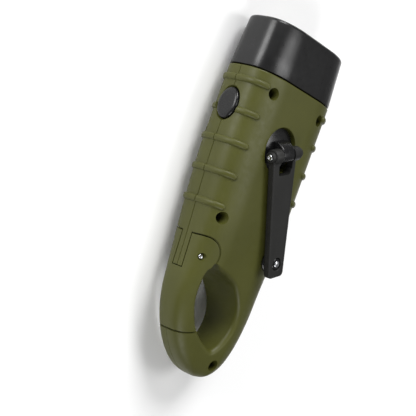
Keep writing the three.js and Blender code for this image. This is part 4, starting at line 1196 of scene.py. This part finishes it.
@dataclass
class Shells:
    """The two moulded body shells, in millimetres."""

    form: BodyForm
    loop: Loop
    gate: Gate
    wall: float = 1.8
    end_y: float = -21.3  # where the room inside ends
    hollow_past: float = 2.0  # how far its cutter stands out of the joint
    hollow_steps: int = 24
    # What stays solid round the gate's pocket.
    gate_wall: Outline = field(default_factory=lambda: rectangle(-50.0, -36.0, -10.2, -14.4))
    root_inset: float = 1.5  # the collar's root, inside the skin
    root_span: tuple[float, float] = (-0.15, -2.0)  # its ends, from the joint
    collar_inset: float = 2.1  # the collar, inside the lamp head's skin
    collar_span: tuple[float, float] = (5.0, -0.3)  # its ends, from the joint
    collar_bore_inset: float = 3.6  # the collar's bore, inside the skin
    collar_bore_span: tuple[float, float] = (7.0, -4.0)  # its ends, from the joint
    face_z: float = 24.0  # the height of the crank side
    recess_radius: float = 8.6
    recess_depth: float = 2.2
    recess_floor: float = 1.5  # how thick the recess's floor and wall are
    recess_soft: float = 0.35  # the rounding at its floor
    recess_lip: float = 0.3  # the rounding at its lip
    lip_share: float = 0.3  # where the lip's middle point lies
    recess_past: float = 20.0  # how far its cutter rises above the floor
    pad_sink: float = 0.2  # how far the recess's pad stays under the face
    bush_hole: float = 4.3
    bush_past: float = 1.0  # how far the bush's hole goes below the pad
    button_hole: tuple[float, float] = (6.2, 4.7)  # half its length and half its height
    button_sides: int = 72
    # Pairs of place across the body and widening.
    button_lip: Profile = (
        (-60.0, 0.9), (-25.0, 0.55), (-24.6, 0.2), (-24.2, 0.0), (-20.6, 0.0),
    )
    screw_hole: float = 2.3
    screw_bore: float = 1.05
    screw_depth: float = 1.7  # how much deeper than the seat's height the screw's bore goes
    well_past: float = 9.0  # how far a well's cutter stands out of the face
    well_sides: int = 56
    # Each screw's place across and along, and its seat's height above the seam.
    screws: tuple[Point, ...] = (
        (-15.4, 41.1, 4.6), (15.4, 41.1, 4.6),
        (-17.09, -7.6, 4.6), (19.33, -7.6, 4.6), (11.66, -61.3, 2.2),
    )
    boss_radius: float = 3.0
    boss_short: float = 0.3  # how far the bosses end before the faces
    boss_inset: float = 0.4  # how far they lie inside the skin
    # How far the blocks that halve the body go, across and along.
    half_reach: tuple[float, float] = (60.0, 90.0)
    # The lower half's bottom and the upper half's top.
    half_heights: tuple[float, float] = (-40.0, 60.0)

    def hollow(self) -> Piece:
        """Make the room inside the shells, short of the gate's pocket.

        Returns:
            The solid that hollows the shells.
        """
        joint, count = self.form.joint_y, self.hollow_steps
        places = [joint + self.hollow_past]
        places += [joint + (self.end_y - joint) * i / count for i in range(count + 1)]
        room = loft("hollow", [self.form.ring(y, self.wall) for y in places])
        wall = prism("gate_wall", self.gate_wall, BELOW_ALL, ABOVE_ALL)
        return combine(room, Operation.CUT, wall)

    def collar(self) -> Piece:
        """Make the collar that the lamp head slides over.

        Returns:
            The collar.
        """
        form, joint = self.form, self.form.joint_y
        root_rings = [form.ring(joint + y, self.root_inset) for y in self.root_span]
        tube_rings = [head_ring(form, joint + y, self.collar_inset) for y in self.collar_span]
        bore_rings = [form.ring(joint + y, self.collar_bore_inset) for y in self.collar_bore_span]
        root = loft("collar_root", root_rings)
        combine(root, Operation.JOIN, loft("collar_tube", tube_rings))
        return combine(root, Operation.CUT, loft("collar_bore", bore_rings))

    def button_cutter(self) -> Piece:
        """Make the solid that cuts the button's hole, with a soft lip.

        Returns:
            The cutter.
        """
        length, height = self.button_hole
        rings = [
            self.form.button_oval(x, length + extra, height + extra, self.button_sides)
            for x, extra in self.button_lip
        ]
        return loft("button_hole", rings)

    def well_cutter(self, x: float, y: float, seat: float) -> Piece:
        """Make the solid that cuts one screw's well.

        Args:
            x: The screw's place across the body.
            y: The screw's place along the body.
            seat: The well floor's height above the seam.

        Returns:
            The cutter.
        """
        top = self.form.surface_height(x, y) + self.well_past
        bore, r = self.screw_bore, self.screw_hole
        profile = [(bore, -seat - self.screw_depth), (bore, seat), (r, seat + TINY_STEP), (r, top)]
        return lathe("screw_well", profile, (x, y, self.form.seam_z), sides=self.well_sides)

    def bosses(self) -> Piece:
        """Make the screw bosses of both shells, clipped to the body's form.

        Returns:
            All bosses, as one solid.
        """
        reach = self.form.half_thickness - self.boss_short
        profile = [(self.boss_radius, -reach), (self.boss_radius, reach)]
        first, *others = [
            lathe("boss", profile, (x, y, self.form.seam_z), sides=PIN_SIDES)
            for x, y, _ in self.screws
        ]
        limit = self.form.skin("boss_limit", seam=False, inset=self.boss_inset)
        return combine(combine(first, Operation.JOIN, *others), Operation.KEEP, limit)

    def recess_cutter(self) -> Piece:
        """Make the solid that cuts the crank's recess.

        Returns:
            The cutter.
        """
        r, top, soft, lip = self.recess_radius, self.recess_depth, self.recess_soft, self.recess_lip
        near = self.lip_share * lip
        profile = [(r - soft, 0.0), (r, soft), (r, top - lip), (r + near, top - near)]
        profile += [(r + lip, top), (r + lip, self.recess_past)]
        place = (*self.form.hub, self.face_z - top)
        return lathe("recess", profile, place, sides=DISC_SIDES)

    def build(self) -> None:
        """Build and dress both shells."""
        pair = self.form.skin("crank_side_skin")
        ribs = [self.form.rib(y, side) for y in self.form.rib_places for side in (-1, 1)]
        combine(pair, Operation.JOIN, *ribs)
        combine(pair, Operation.CUT, self.hollow())
        combine(pair, Operation.JOIN, self.collar(), self.bosses())
        combine(pair, Operation.CUT, self.gate.pocket(), self.gate.sunk_edge_cutter())
        combine(pair, Operation.CUT, self.loop.cutter(), self.gate.bore_cutter())
        combine(pair, Operation.CUT, self.button_cutter())
        combine(pair, Operation.CUT, *(self.well_cutter(*place) for place in self.screws))
        lower = pair.copy()
        lower.data = pair.data.copy()
        lower.name = "back_skin"
        bpy.context.scene.collection.objects.link(lower)
        seam, (across, along), (bottom, top) = self.form.seam_z, self.half_reach, self.half_heights
        wide = rectangle(-across, -along, across, along)
        combine(pair, Operation.KEEP, prism("above", wide, seam, top))
        combine(lower, Operation.KEEP, prism("below", wide, bottom, seam))
        under = self.face_z - self.recess_depth - self.recess_floor
        rim, hole = self.recess_radius + self.recess_floor, self.bush_hole
        hub = (*self.form.hub, 0.0)
        pad = lathe("pad", [(rim, under), (rim, self.face_z - self.pad_sink)], hub)
        combine(pair, Operation.JOIN, pad)
        bush = lathe("bush_hole", [(hole, under - self.bush_past), (hole, self.face_z)], hub)
        combine(pair, Operation.CUT, self.recess_cutter(), bush)
        for shell, node in ((pair, "crank_side_shell"), (lower, "back_shell")):
            dress(shade(shell), OLIVE)
            fit(shell, "housing", node)


@dataclass
class LampHead:
    """The black lamp head with its lens, reflector and three emitters, in millimetres."""

    form: BodyForm
    wall: float = 1.8
    lip: float = 1.5  # how far the front's lip covers the lens
    lip_depth: float = 0.9
    bore_past: float = 2.0  # how far the bore's cutter stands out of the back
    round_over: float = 1.3  # the rounding at the front
    # Places of the sections along the sides, from the joint.
    side_steps: tuple[float, ...] = (14.0, 7.0)
    # Pairs of place from the back and inset.
    back_edge: Profile = ((0.3, 0.0), (0.1, 0.07), (0.0, 0.25))
    # Pairs of place from the front and widening.
    window_edge: Profile = ((1.5, 0.6), (0.2, 0.5), (-0.15, 0.15), (-0.45, 0.0))
    clearance: float = 0.3  # the room between the wall and the lens
    lens_soft: float = 0.25  # the rounding at the lens's front
    lens_back: float = 64.6
    lens_front: float = 66.4
    reflector_back: float = 55.4
    reflector_front: float = 64.4
    cup_places: tuple[float, ...] = (-13.87, 0.0, 13.87)
    cup_back: float = 3.3  # a cup's radius at its back
    cup_front: float = 6.53  # its radius at its front
    cup_start: float = 0.8  # where its curve starts, from the reflector's back
    cup_past: float = 0.5  # how far its cutter stands out of the reflector
    cup_steps: int = 14
    cup_sides: int = 72
    # Pairs of widening and height of an emitter's foot.
    led_rim: Profile = (
        (0.3, 0.0), (0.4, 0.1), (0.4, 0.85), (0.3, 1.0), (0.02, 1.02), (0.0, 1.1),
    )
    led_foot: float = 54.7
    led_radius: float = 2.5
    led_height: float = 7.4
    led_steps: int = 12
    led_sides: int = 48

    def slice(self, name: str, steps: Profile) -> Piece:
        """Skin a piece of the head's own form.

        Args:
            name: The object's name.
            steps: Pairs of place along the head and inset, from the front to the back.

        Returns:
            The solid.
        """
        return loft(name, [head_ring(self.form, y, inset) for y, inset in steps])

    def build_bezel(self) -> None:
        """Build and dress the bezel."""
        front, joint = self.form.joint_y + self.form.head_length, self.form.joint_y
        r = self.round_over
        steps = [(front - r * (1 - c), r * (1 - s)) for c, s in quarter_turns(CORNER_STEPS)]
        steps += [(joint + y, 0.0) for y in self.side_steps]
        back = joint + 0.5 * self.form.joint_gap
        steps += [(back + y, inset) for y, inset in self.back_edge]
        bezel = self.slice("lamp_bezel", steps)
        inner = self.wall + self.lip
        room = [(front - self.lip_depth, self.wall), (joint - self.bore_past, self.wall)]
        window = [(front + y, inner - wider) for y, wider in self.window_edge] + [(joint, inner)]
        bore = self.slice("bezel_bore", room)
        combine(bezel, Operation.CUT, bore, self.slice("bezel_window", window))
        dress(shade(bezel), BEZEL_BLACK)
        fit(bezel, "housing", "head_bezel")

    def build_glass(self) -> None:
        """Build and dress the lens and the reflector."""
        inset, soft, front = self.wall + self.clearance, self.lens_soft, self.lens_front
        steps = [(front, inset + soft), (front - soft, inset), (self.lens_back, inset)]
        lens = self.slice("lens", steps)
        dress(shade(lens), LENS_CLEAR)
        fit(lens, "housing", "front_lens")
        block = [(self.reflector_front, inset), (self.reflector_back, inset)]
        reflector = self.slice("mirror_block", block)
        for x in self.cup_places:
            place = (x, 0.0, self.form.seam_z)
            cup = lathe("cup", self.cup_profile(), place, Axis.Y, self.cup_sides)
            combine(reflector, Operation.CUT, cup)
        dress(shade(reflector), MIRROR_COAT)
        fit(reflector, "housing", "reflector")

    def cup_profile(self) -> Outline:
        """Give the curved profile of one reflector cup.

        Returns:
            Pairs of radius and place along the head.
        """
        back, front = self.reflector_back, self.reflector_front
        start = back + self.cup_start
        profile = [(self.cup_back, back - self.cup_past)]
        for i in range(self.cup_steps + 1):
            share = i / self.cup_steps
            radius = math.sqrt(self.cup_back**2 + (self.cup_front**2 - self.cup_back**2) * share)
            profile.append((radius, start + (front - start) * share))
        profile.append((self.cup_front, front + self.cup_past))
        return profile

    def build_emitters(self) -> None:
        """Build and dress the three emitters."""
        foot, r = self.led_foot, self.led_radius
        dome = foot + self.led_height - r
        profile = [(r + wider, foot + up) for wider, up in self.led_rim]
        profile += corner((0.0, dome), r, 0.0, self.led_steps)
        for i, x in enumerate(self.cup_places, start=1):
            place = (x, 0.0, self.form.seam_z)
            lamp = lathe(f"emitter_{i}", profile, place, Axis.Y, self.led_sides)
            dress(shade(lamp), EMITTER)
            fit(lamp, "housing", f"led_{i}")

    def build(self) -> None:
        """Build the whole lamp head."""
        self.build_bezel()
        self.build_glass()
        self.build_emitters()


@dataclass
class Button:
    """The push button on the narrow side, in millimetres."""

    form: BodyForm
    half_length: float = 5.9
    half_height: float = 4.4
    crest_x: float = -25.9  # where the cap's flat middle lies
    crown: float = 1.0  # how far its edge falls off
    centre_share: float = 0.3  # the size of the middle face, as a share of the cap's
    pad_share: float = 0.62  # the size of the flat middle, as a share of the cap's
    crown_steps: int = 10
    flange_x: float = -20.9  # where that foot starts
    flange: float = 0.9  # how much wider its foot inside the wall is
    flange_step: float = 0.02
    back_x: float = -20.1
    sides: int = 80

    def build(self) -> None:
        """Build and dress the button's cap."""
        pad, crest = self.pad_share, self.crest_x
        levels = [(crest, self.centre_share, 0.0), (crest, pad, 0.0)]
        for c, s in quarter_turns(self.crown_steps)[1:]:
            levels.append((crest + self.crown * (1.0 - c), pad + (1.0 - pad) * s, 0.0))
        levels.append((self.flange_x, 1.0, 0.0))
        levels += [(x, 1.0, self.flange) for x in (self.flange_x + self.flange_step, self.back_x)]
        cap = loft("push_button", [self.oval(*level) for level in levels])
        dress(shade(cap), SATIN_BLACK)
        fit(cap, "button", "button_cap")

    def oval(self, x: float, share: float, grow: float) -> Ring:
        """Give one oval of the cap.

        Args:
            x: The place across the body.
            share: Its size as a share of the cap's.
            grow: How much is added all round.

        Returns:
            The oval's points.
        """
        length, height = self.half_length * share + grow, self.half_height * share + grow
        return self.form.button_oval(x, length, height, self.sides)


@dataclass
class Crank:
    """The folding crank, built pointing to the tail and then turned, in millimetres."""

    form: BodyForm
    turn: float = 24.2  # how far the crank rests from the body's length, in degrees
    hinge_y: float = -1.2  # the hinge's line, from the hub's middle
    hinge_z: float = 26.3
    disc_radius: float = 8.2
    disc_z: float = 22.1  # the height of the disc's underside
    shaft_radius: float = 3.0
    shaft_bottom: float = 19.7
    # Pairs of inset and height.
    disc_edge: Profile = ((0.1, 0.01), (0.0, 0.1), (0.0, 0.14), (0.06, 0.22))
    dome_inset: float = 0.2  # where the disc's dome starts, inside its edge
    dome_foot: float = 0.25  # its height there, above the underside
    dome_rise: float = 0.95  # how much higher its middle is
    dome_steps: int = 9
    knuckle_root: float = 0.2  # where the knuckle starts, above the disc's underside
    knuckle_half: float = 3.0  # half its length along the hinge
    knuckle_soft: float = 0.4
    soft_steps: int = 5
    round_steps: int = 24
    knuckle_y: float = -1.39  # where its crest and its foot meet
    knuckle_top: float = 28.85
    crest_radius: float = 2.6  # its round on the hinge's side
    foot_radius: float = 5.1  # its wide round on the other side
    ear_radius: float = 2.8  # the ears, thick bars along the hinge at the arm's root
    ear_half: float = 7.0
    ear_soft: float = 0.4
    boss_radius: float = 2.0  # the bosses, thinner bars that stand out of the ears
    boss_half: float = 8.5
    boss_soft: float = 0.3
    soft_share: float = 0.3  # where a softened end's middle point lies
    arm_shift: float = -1.0  # how far the arm lies beside the hub's middle
    arm_half: float = 1.4  # half the arm's thickness
    edge_round: float = 0.45
    edge_angle: float = 60.0
    root_half: float = 6.5  # half its width at the hinge
    tip_half: float = 4.2  # half its width at the tip
    tip_y: float = -49.0
    tip_round: float = 1.8
    window_half: float = 3.3  # half the window's width at the knuckle
    window_top: float = 8.0  # where the window ends behind the hinge
    window_left: float = -4.2  # its left side past the ears
    window_left_y: float = -0.9  # where that side starts, from the ears' edge
    window_left_round: float = 1.0
    window_right: float = 2.6  # its right side
    window_right_y: float = -5.1  # where it narrows on the right, from the hinge
    window_right_round: float = 1.6
    window_end: float = -8.6  # where it ends towards the tip
    window_past: float = 8.0  # how far its cutter stands out of the arm
    hole_past: float = 0.3  # how far the knob hole's cutter stands out of the arm
    hole_soft: float = 0.15  # the rounding at the hole's upper edge
    hole_flare: float = 0.4  # how much wider the cutter ends
    pin_radius: float = 1.25
    pin_proud: float = 0.2  # how far the hinge pin stands out of the bosses
    bore_half: float = 20.0  # half the length of its bore's cutter
    gap: float = 0.2  # the room round the pin and round the knob's stem
    knob_y: float = -43.6
    knob_radius: float = 4.5
    knob_bottom: float = 23.7
    knob_height: float = 1.0
    # Pairs of inset and height.
    knob_edge: Profile = ((0.35, 0.0), (0.1, 0.1), (0.0, 0.35), (0.0, 0.75), (0.25, 1.0))
    stem_radius: float = 2.3
    stem_top: float = 27.4
    stem_soft: float = 0.2
    stem_foot: float = 0.1  # the fillet where the stem meets the knob
    knob_sides: int = 72
    rivet_hole: float = 1.1
    rivet_floor: float = 0.2  # where the rivet's hole starts, above the knob's face
    rivet_past: float = 30.0  # how high the hole's cutter goes
    rivet_radius: float = 0.9
    rivet_room: float = 0.2  # the room under the rivet
    rivet_lift: float = 0.2  # how far its head lies above the stem
    # Pairs of radius and height of the rivet's head.
    rivet_head: Profile = (
        (1.3, 0.01), (1.28, 0.15), (1.1, 0.35), (0.7, 0.47), (0.0, 0.5),
    )

    def turned_in(self, piece: Piece) -> Piece:
        """Turn a piece from the crank's own place to where the crank rests.

        Args:
            piece: The piece, built pointing to the tail.

        Returns:
            The same piece.
        """
        x, y = self.form.hub
        moved = Matrix.Translation((x * MM, y * MM, 0.0))
        piece.data.transform(moved @ Matrix.Rotation(math.radians(self.turn), 4, "Z"))
        return piece

    def bar(self, name: str, profile: Profile, sides: int = 64) -> Piece:
        """Turn a profile about the hinge's line."""
        return lathe(name, profile, (0.0, self.hinge_y, self.hinge_z), Axis.X, sides)

    def rounded_bar(self, name: str, radius: float, half: float, soft: float) -> Piece:
        """Make a bar along the hinge's line with softened ends.

        Args:
            name: The object's name.
            radius: The bar's radius.
            half: Half its length.
            soft: How far its end edges are rounded.

        Returns:
            The bar.
        """
        near = self.soft_share * soft
        lower = [(radius - soft, -half), (radius - near, near - half), (radius, soft - half)]
        return self.bar(name, lower + [(r, -along) for r, along in reversed(lower)])

    def pin_bore(self) -> Piece:
        """Make the solid that cuts the hinge pin's hole."""
        bore, half = self.pin_radius + self.gap, self.bore_half
        return self.bar("pin_bore", [(bore, -half), (bore, half)], PIN_SIDES)

    def build_hub(self) -> None:
        """Build and dress the hub with its knuckle."""
        r, z = self.disc_radius, self.disc_z
        profile = [(self.shaft_radius, self.shaft_bottom), (self.shaft_radius, z)]
        profile += [(r - inset, z + up) for inset, up in self.disc_edge]
        foot = z + self.dome_foot
        for i in range(self.dome_steps + 1):
            share = 1.0 - i / self.dome_steps
            height = self.dome_rise * (1.0 - share * share)
            profile.append(((r - self.dome_inset) * share, foot + height))
        hub = lathe("hub", profile, (0.0, 0.0, 0.0), sides=DISC_SIDES)
        combine(hub, Operation.JOIN, self.knuckle())
        combine(hub, Operation.CUT, self.pin_bore())
        dress(shade(self.turned_in(hub)), SATIN_BLACK)
        fit(hub, "crank", "crank_hub")
        end = self.boss_half + self.pin_proud
        pin = self.bar("hinge_rod", riveted(self.pin_radius, -end, end))
        dress(shade(self.turned_in(pin)), BRIGHT_STEEL)
        fit(pin, "crank", "hinge_pin")

    def knuckle(self) -> Piece:
        """Make the knuckle, a block that is round at the hinge and slopes to a lower round foot.

        Returns:
            The knuckle.
        """
        k, soft = self.knuckle_half, self.knuckle_soft
        turns = reversed(quarter_turns(self.soft_steps))
        steps = [(soft * (1.0 - s) - k, soft * (1.0 - c)) for c, s in turns]
        steps += [(-x, inset) for x, inset in reversed(steps)]
        return loft("knuckle", [self.knuckle_ring(x, inset) for x, inset in steps])

    def knuckle_ring(self, x: float, inset: float) -> Ring:
        """Give the knuckle's side view at one place along the hinge.

        Args:
            x: The place along the hinge.
            inset: How far it lies inside the knuckle's skin.

        Returns:
            The points, up over the foot's wide round, over the crest and down to the disc.
        """
        bottom = self.disc_z + self.knuckle_root
        points: Outline = []
        for radius, start in ((self.foot_radius, 0.0), (self.crest_radius, 90.0)):
            middle = (self.knuckle_y, self.knuckle_top - radius)
            points += corner(middle, radius - inset, start, self.round_steps)
        points = [(points[0][0], bottom), *points, (points[-1][0], bottom)]
        return [(x, y, z) for y, z in points]

    def arm_outline(self) -> Outline:
        """Give the arm's outline seen from the crank side.

        Returns:
            The outline's points, anticlockwise.
        """
        r = self.tip_round
        tip = corner((self.tip_half - r, self.tip_y + r), r, 270.0, CORNER_STEPS)
        left = [(-x, y) for x, y in reversed(tip)]
        outline = [(-self.root_half, self.hinge_y), *left, *tip, (self.root_half, self.hinge_y)]
        return [(x + self.arm_shift, y) for x, y in outline]

    def window_outline(self) -> Outline:
        """Give the outline of the arm's window, which lets the knuckle through.

        Returns:
            The outline's points, anticlockwise.
        """
        w, top, end = self.window_half, self.hinge_y + self.window_top, self.window_end
        shoulder = self.hinge_y - self.ear_radius
        points = [(w, top), (-w, top), (-w, shoulder)]
        points.append((self.window_left, shoulder + self.window_left_y))
        r = self.window_left_round
        points += corner((self.window_left + r, end + r), r, 180.0, CORNER_STEPS)
        r = self.window_right_round
        points += corner((self.window_right - r, end + r), r, 270.0, CORNER_STEPS)
        points.append((w, self.hinge_y + self.window_right_y))
        return points

    def build_arm(self) -> None:
        """Build and dress the arm."""
        low, high = self.hinge_z - self.arm_half, self.hinge_z + self.arm_half
        arm = prism("arm_plate", self.arm_outline(), low, high)
        round_edges(arm, self.edge_round, self.edge_angle)
        ears = self.rounded_bar("ears", self.ear_radius, self.ear_half, self.ear_soft)
        bosses = self.rounded_bar("ear_bosses", self.boss_radius, self.boss_half, self.boss_soft)
        combine(arm, Operation.JOIN, ears, bosses)
        past = self.window_past
        combine(arm, Operation.CUT, prism("window", self.window_outline(), low - past, high + past))
        combine(arm, Operation.CUT, self.pin_bore())
        hole, past, soft = self.stem_radius + self.gap, self.hole_past, self.hole_soft
        profile = [(hole + past, low - past), (hole, low), (hole, high - soft)]
        profile += [(hole + soft, high), (hole + self.hole_flare, high + past)]
        combine(arm, Operation.CUT, lathe("knob_hole", profile, self.knob_place()))
        dress(shade(self.turned_in(arm)), MATT_BLACK)
        fit(arm, "arm", "crank_arm")

    def build_knob(self) -> None:
        """Build and dress the knob and its rivet."""
        r, z, s = self.knob_radius, self.knob_bottom, self.stem_radius
        face, top, soft = z + self.knob_height, self.stem_top, self.stem_soft
        profile = [(0.0, z)] + [(r - inset, z + up) for inset, up in self.knob_edge]
        profile += [(s + self.stem_foot, face), (s, face + self.stem_foot)]
        profile += [(s, top - soft), (s - soft, top), (0.0, top)]
        knob = lathe("knob", profile, self.knob_place(), sides=self.knob_sides)
        floor = face + self.rivet_floor
        hole = [(self.rivet_hole, floor), (self.rivet_hole, self.rivet_past)]
        combine(knob, Operation.CUT, lathe("rivet_hole", hole, self.knob_place(), sides=PIN_SIDES))
        dress(shade(self.turned_in(knob)), SATIN_BLACK)
        fit(knob, "knob", "crank_knob")
        low, head, r = floor + self.rivet_room, top + self.rivet_lift, self.rivet_radius
        rivet = [(0.0, low), (r, low), (r, head)] + [(x, head + up) for x, up in self.rivet_head]
        pin = lathe("rivet", rivet, self.knob_place(), sides=PIN_SIDES)
        dress(shade(self.turned_in(pin)), BRIGHT_STEEL)
        fit(pin, "knob", "knob_rivet")

    def knob_place(self) -> Point:
        """Give the knob's place on the arm, before the crank is turned in."""
        return (self.arm_shift, self.knob_y, 0.0)

    def build(self) -> None:
        """Build the whole crank."""
        self.build_hub()
        self.build_arm()
        self.build_knob()


@dataclass
class Screws:
    """The shell screws in their wells, in millimetres."""

    form: BodyForm
    # Each screw's place across and along, and its seat's height above the seam.
    places: tuple[Point, ...]
    lift: float = 0.2  # how far the head lies above its seat
    head_radius: float = 1.85
    head_height: float = 1.4
    # Pairs of inset and depth under the head's top.
    head_dome: Profile = ((0.0, 0.5), (0.15, 0.25), (0.6, 0.06), (1.1, 0.0))
    shank_radius: float = 0.75
    shank_end: float = 1.0  # how much deeper than the seat's height the shank goes
    point: float = 0.3  # how long its point is
    cross_half: float = 0.26
    cross_reach: float = 1.05
    cross_depth: float = 0.8
    cross_past: float = 1.0  # how far the cross's cutter stands out of the head
    sides: int = 48

    def build(self) -> None:
        """Build and dress every screw."""
        r, s = self.head_radius, self.shank_radius
        slots = ((self.cross_half, self.cross_reach), (self.cross_reach, self.cross_half))
        for i, (x, y, seat) in enumerate(self.places, start=1):
            low = self.form.seam_z + seat + self.lift
            high = low + self.head_height
            end = self.form.seam_z - seat - self.shank_end
            profile = [(0.0, end - self.point), (s, end), (s, low), (r, low + TINY_STEP)]
            profile += [(r - inset, high - down) for inset, down in self.head_dome]
            profile.append((0.0, high))
            screw = lathe(f"screw_{i}", profile, (x, y, 0.0), sides=self.sides)
            for wide, deep in slots:
                slot = rectangle(x - wide, y - deep, x + wide, y + deep)
                bottom, top = high - self.cross_depth, high + self.cross_past
                combine(screw, Operation.CUT, prism("cross", slot, bottom, top))
            dress(shade(screw), DARK_STEEL)
            fit(screw, "housing", f"shell_screw_{i}")


@dataclass
class InnerWorks:
    """Everything inside the shells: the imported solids, each in the finish of its slot."""

    finishes: dict[str, Finish] = field(default_factory=lambda: {
        "body_plastic": OLIVE,
        "bezel_plastic": BEZEL_BLACK,
        "black_plastic": SATIN_BLACK,
        "crank_plastic": MATT_BLACK,
        "dark_plastic": DARK_PLASTIC,
        "lens_clear": LENS_CLEAR,
        "reflector_mirror": MIRROR_COAT,
        "emitter": EMITTER,
        "circuit_board": BOARD_GREEN,
        "bright_steel": BRIGHT_STEEL,
        "dark_steel": DARK_STEEL,
        "copper_wire": COPPER,
        "brass_part": BRASS,
        "magnet": FERRITE,
        "gear_plastic": GEAR_PLASTIC,
        "cell_sleeve": CELL_SLEEVE,
        "wire_sleeve": WIRE_RED,
    })

    def build(self) -> None:
        """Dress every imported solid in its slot's finish."""
        for part in frame["record"]["subparts"]:
            node = frame["nodes"][part["node"]]
            dress(shade(node), self.finishes[part["material_slot"]])


@dataclass
class Studio:
    """The floor, the soft lights and the camera."""

    position: Point = (-0.2924, -0.0192, 0.2564)  # where the camera stands, in metres
    right: Point = (0.6118, 0.3430, 0.7128)  # the camera's own directions
    up: Point = (-0.2527, 0.9386, -0.2348)
    forward: Point = (0.7496, 0.0365, -0.6609)
    lens: float = 86.7  # in millimetres, for the sensor's width
    sensor: float = 36.0
    nearest: float = 0.01  # how near the camera sees, in metres
    target: Point = (0.0, 0.0, 0.01)  # what the lights face
    floor_half: float = 4.0  # in metres
    floor_tone: Colour = (0.92, 0.92, 0.92)
    floor_roughness: float = 0.85
    floor_gloss: float = 0.1
    world_tone: float = 0.17  # how bright the surroundings are

    def build(self) -> None:
        """Set up the whole studio."""
        self.build_floor()
        self.light("top", (0.230, 0.135, 0.640), size=0.27, power=1.4)
        self.light("side", (-0.640, 0.220, 0.120), size=0.36, power=3.5)
        self.far_light("lamp_end", (-0.160, 0.640, 0.440), width=30.0, power=2.5)
        self.far_light("tail_end", (-0.100, -0.620, 0.500), width=30.0, power=1.15)
        self.build_world()
        self.build_camera()
        bpy.context.scene.view_settings.view_transform = "Standard"

    def build_floor(self) -> None:
        """Lay the plain pale floor."""
        h = self.floor_half / MM
        corners = [(x, y, 0.0) for x, y in rectangle(-h, -h, h, h)]
        floor = make_mesh("floor", corners, [(0, 1, 2, 3)])
        tone, gloss = self.floor_tone, self.floor_gloss
        pale = Plastic("floor_paper", tone, tone, self.floor_roughness, grain=0.0, specular=gloss)
        dress(floor, pale)

    def light(self, name: str, place: Point, size: float, power: float) -> None:
        """Add a soft square light that faces the object.

        Args:
            name: The light's name.
            place: Where it stands, in metres.
            size: Its side, in metres.
            power: Its power, in watts.
        """
        data = bpy.data.lights.new(name, "AREA")
        data.size = size
        data.energy = power
        self.aim(bpy.data.objects.new(name, data), place)

    def far_light(self, name: str, place: Point, width: float, power: float) -> None:
        """Add a soft far light, which lights the floor evenly to its edges.

        Args:
            name: The light's name.
            place: Where it comes from.
            width: How wide it looks, in degrees.
            power: Its power, in watts for each square metre.
        """
        data = bpy.data.lights.new(name, "SUN")
        data.angle = math.radians(width)
        data.energy = power
        self.aim(bpy.data.objects.new(name, data), place)

    def aim(self, lamp: Piece, place: Point) -> None:
        """Stand a light at its place, facing the object.

        Args:
            lamp: The light.
            place: Where it stands, in metres.
        """
        bpy.context.scene.collection.objects.link(lamp)
        lamp.location = place
        lamp.rotation_mode = "QUATERNION"
        way = Vector(self.target) - Vector(place)
        lamp.rotation_quaternion = way.to_track_quat("-Z", "Y")

    def build_world(self) -> None:
        """Give the surroundings an even white."""
        world = bpy.data.worlds.new("white")
        bpy.context.scene.world = world
        world.use_nodes = True
        back = world.node_tree.nodes["Background"]
        back.inputs["Color"].default_value = (1.0, 1.0, 1.0, 1.0)
        back.inputs["Strength"].default_value = self.world_tone

    def build_camera(self) -> None:
        """Set the camera where the photograph was taken from."""
        data = bpy.data.cameras.new("camera")
        data.lens = self.lens
        data.sensor_width = self.sensor
        data.clip_start = self.nearest
        camera = bpy.data.objects.new("camera", data)
        bpy.context.scene.collection.objects.link(camera)
        right, up, back = Vector(self.right), Vector(self.up), -Vector(self.forward)
        turned = Matrix((right, up, back)).transposed().to_4x4()
        camera.matrix_world = Matrix.Translation(self.position) @ turned
        bpy.context.scene.camera = camera


def main() -> None:
    """Build the whole scene, one sub-assembly after another, and report each."""
    logging.basicConfig(level=logging.INFO, format="%(message)s")
    form = BodyForm()
    loop = Loop(form)
    gate = Gate(form, loop)
    shells = Shells(form, loop, gate)
    builds: dict[str, Callable[[], None]] = {
        "inner works": InnerWorks().build,
        "shells": shells.build,
        "gate": gate.build,
        "lamp head": LampHead(form).build,
        "push button": Button(form).build,
        "crank": Crank(form).build,
        "screws": Screws(form, shells.screws).build,
        "studio": Studio().build,
    }
    for name, build in builds.items():
        build()
        LOG.info("%s built", name)


if __name__ == "__main__":
    main()
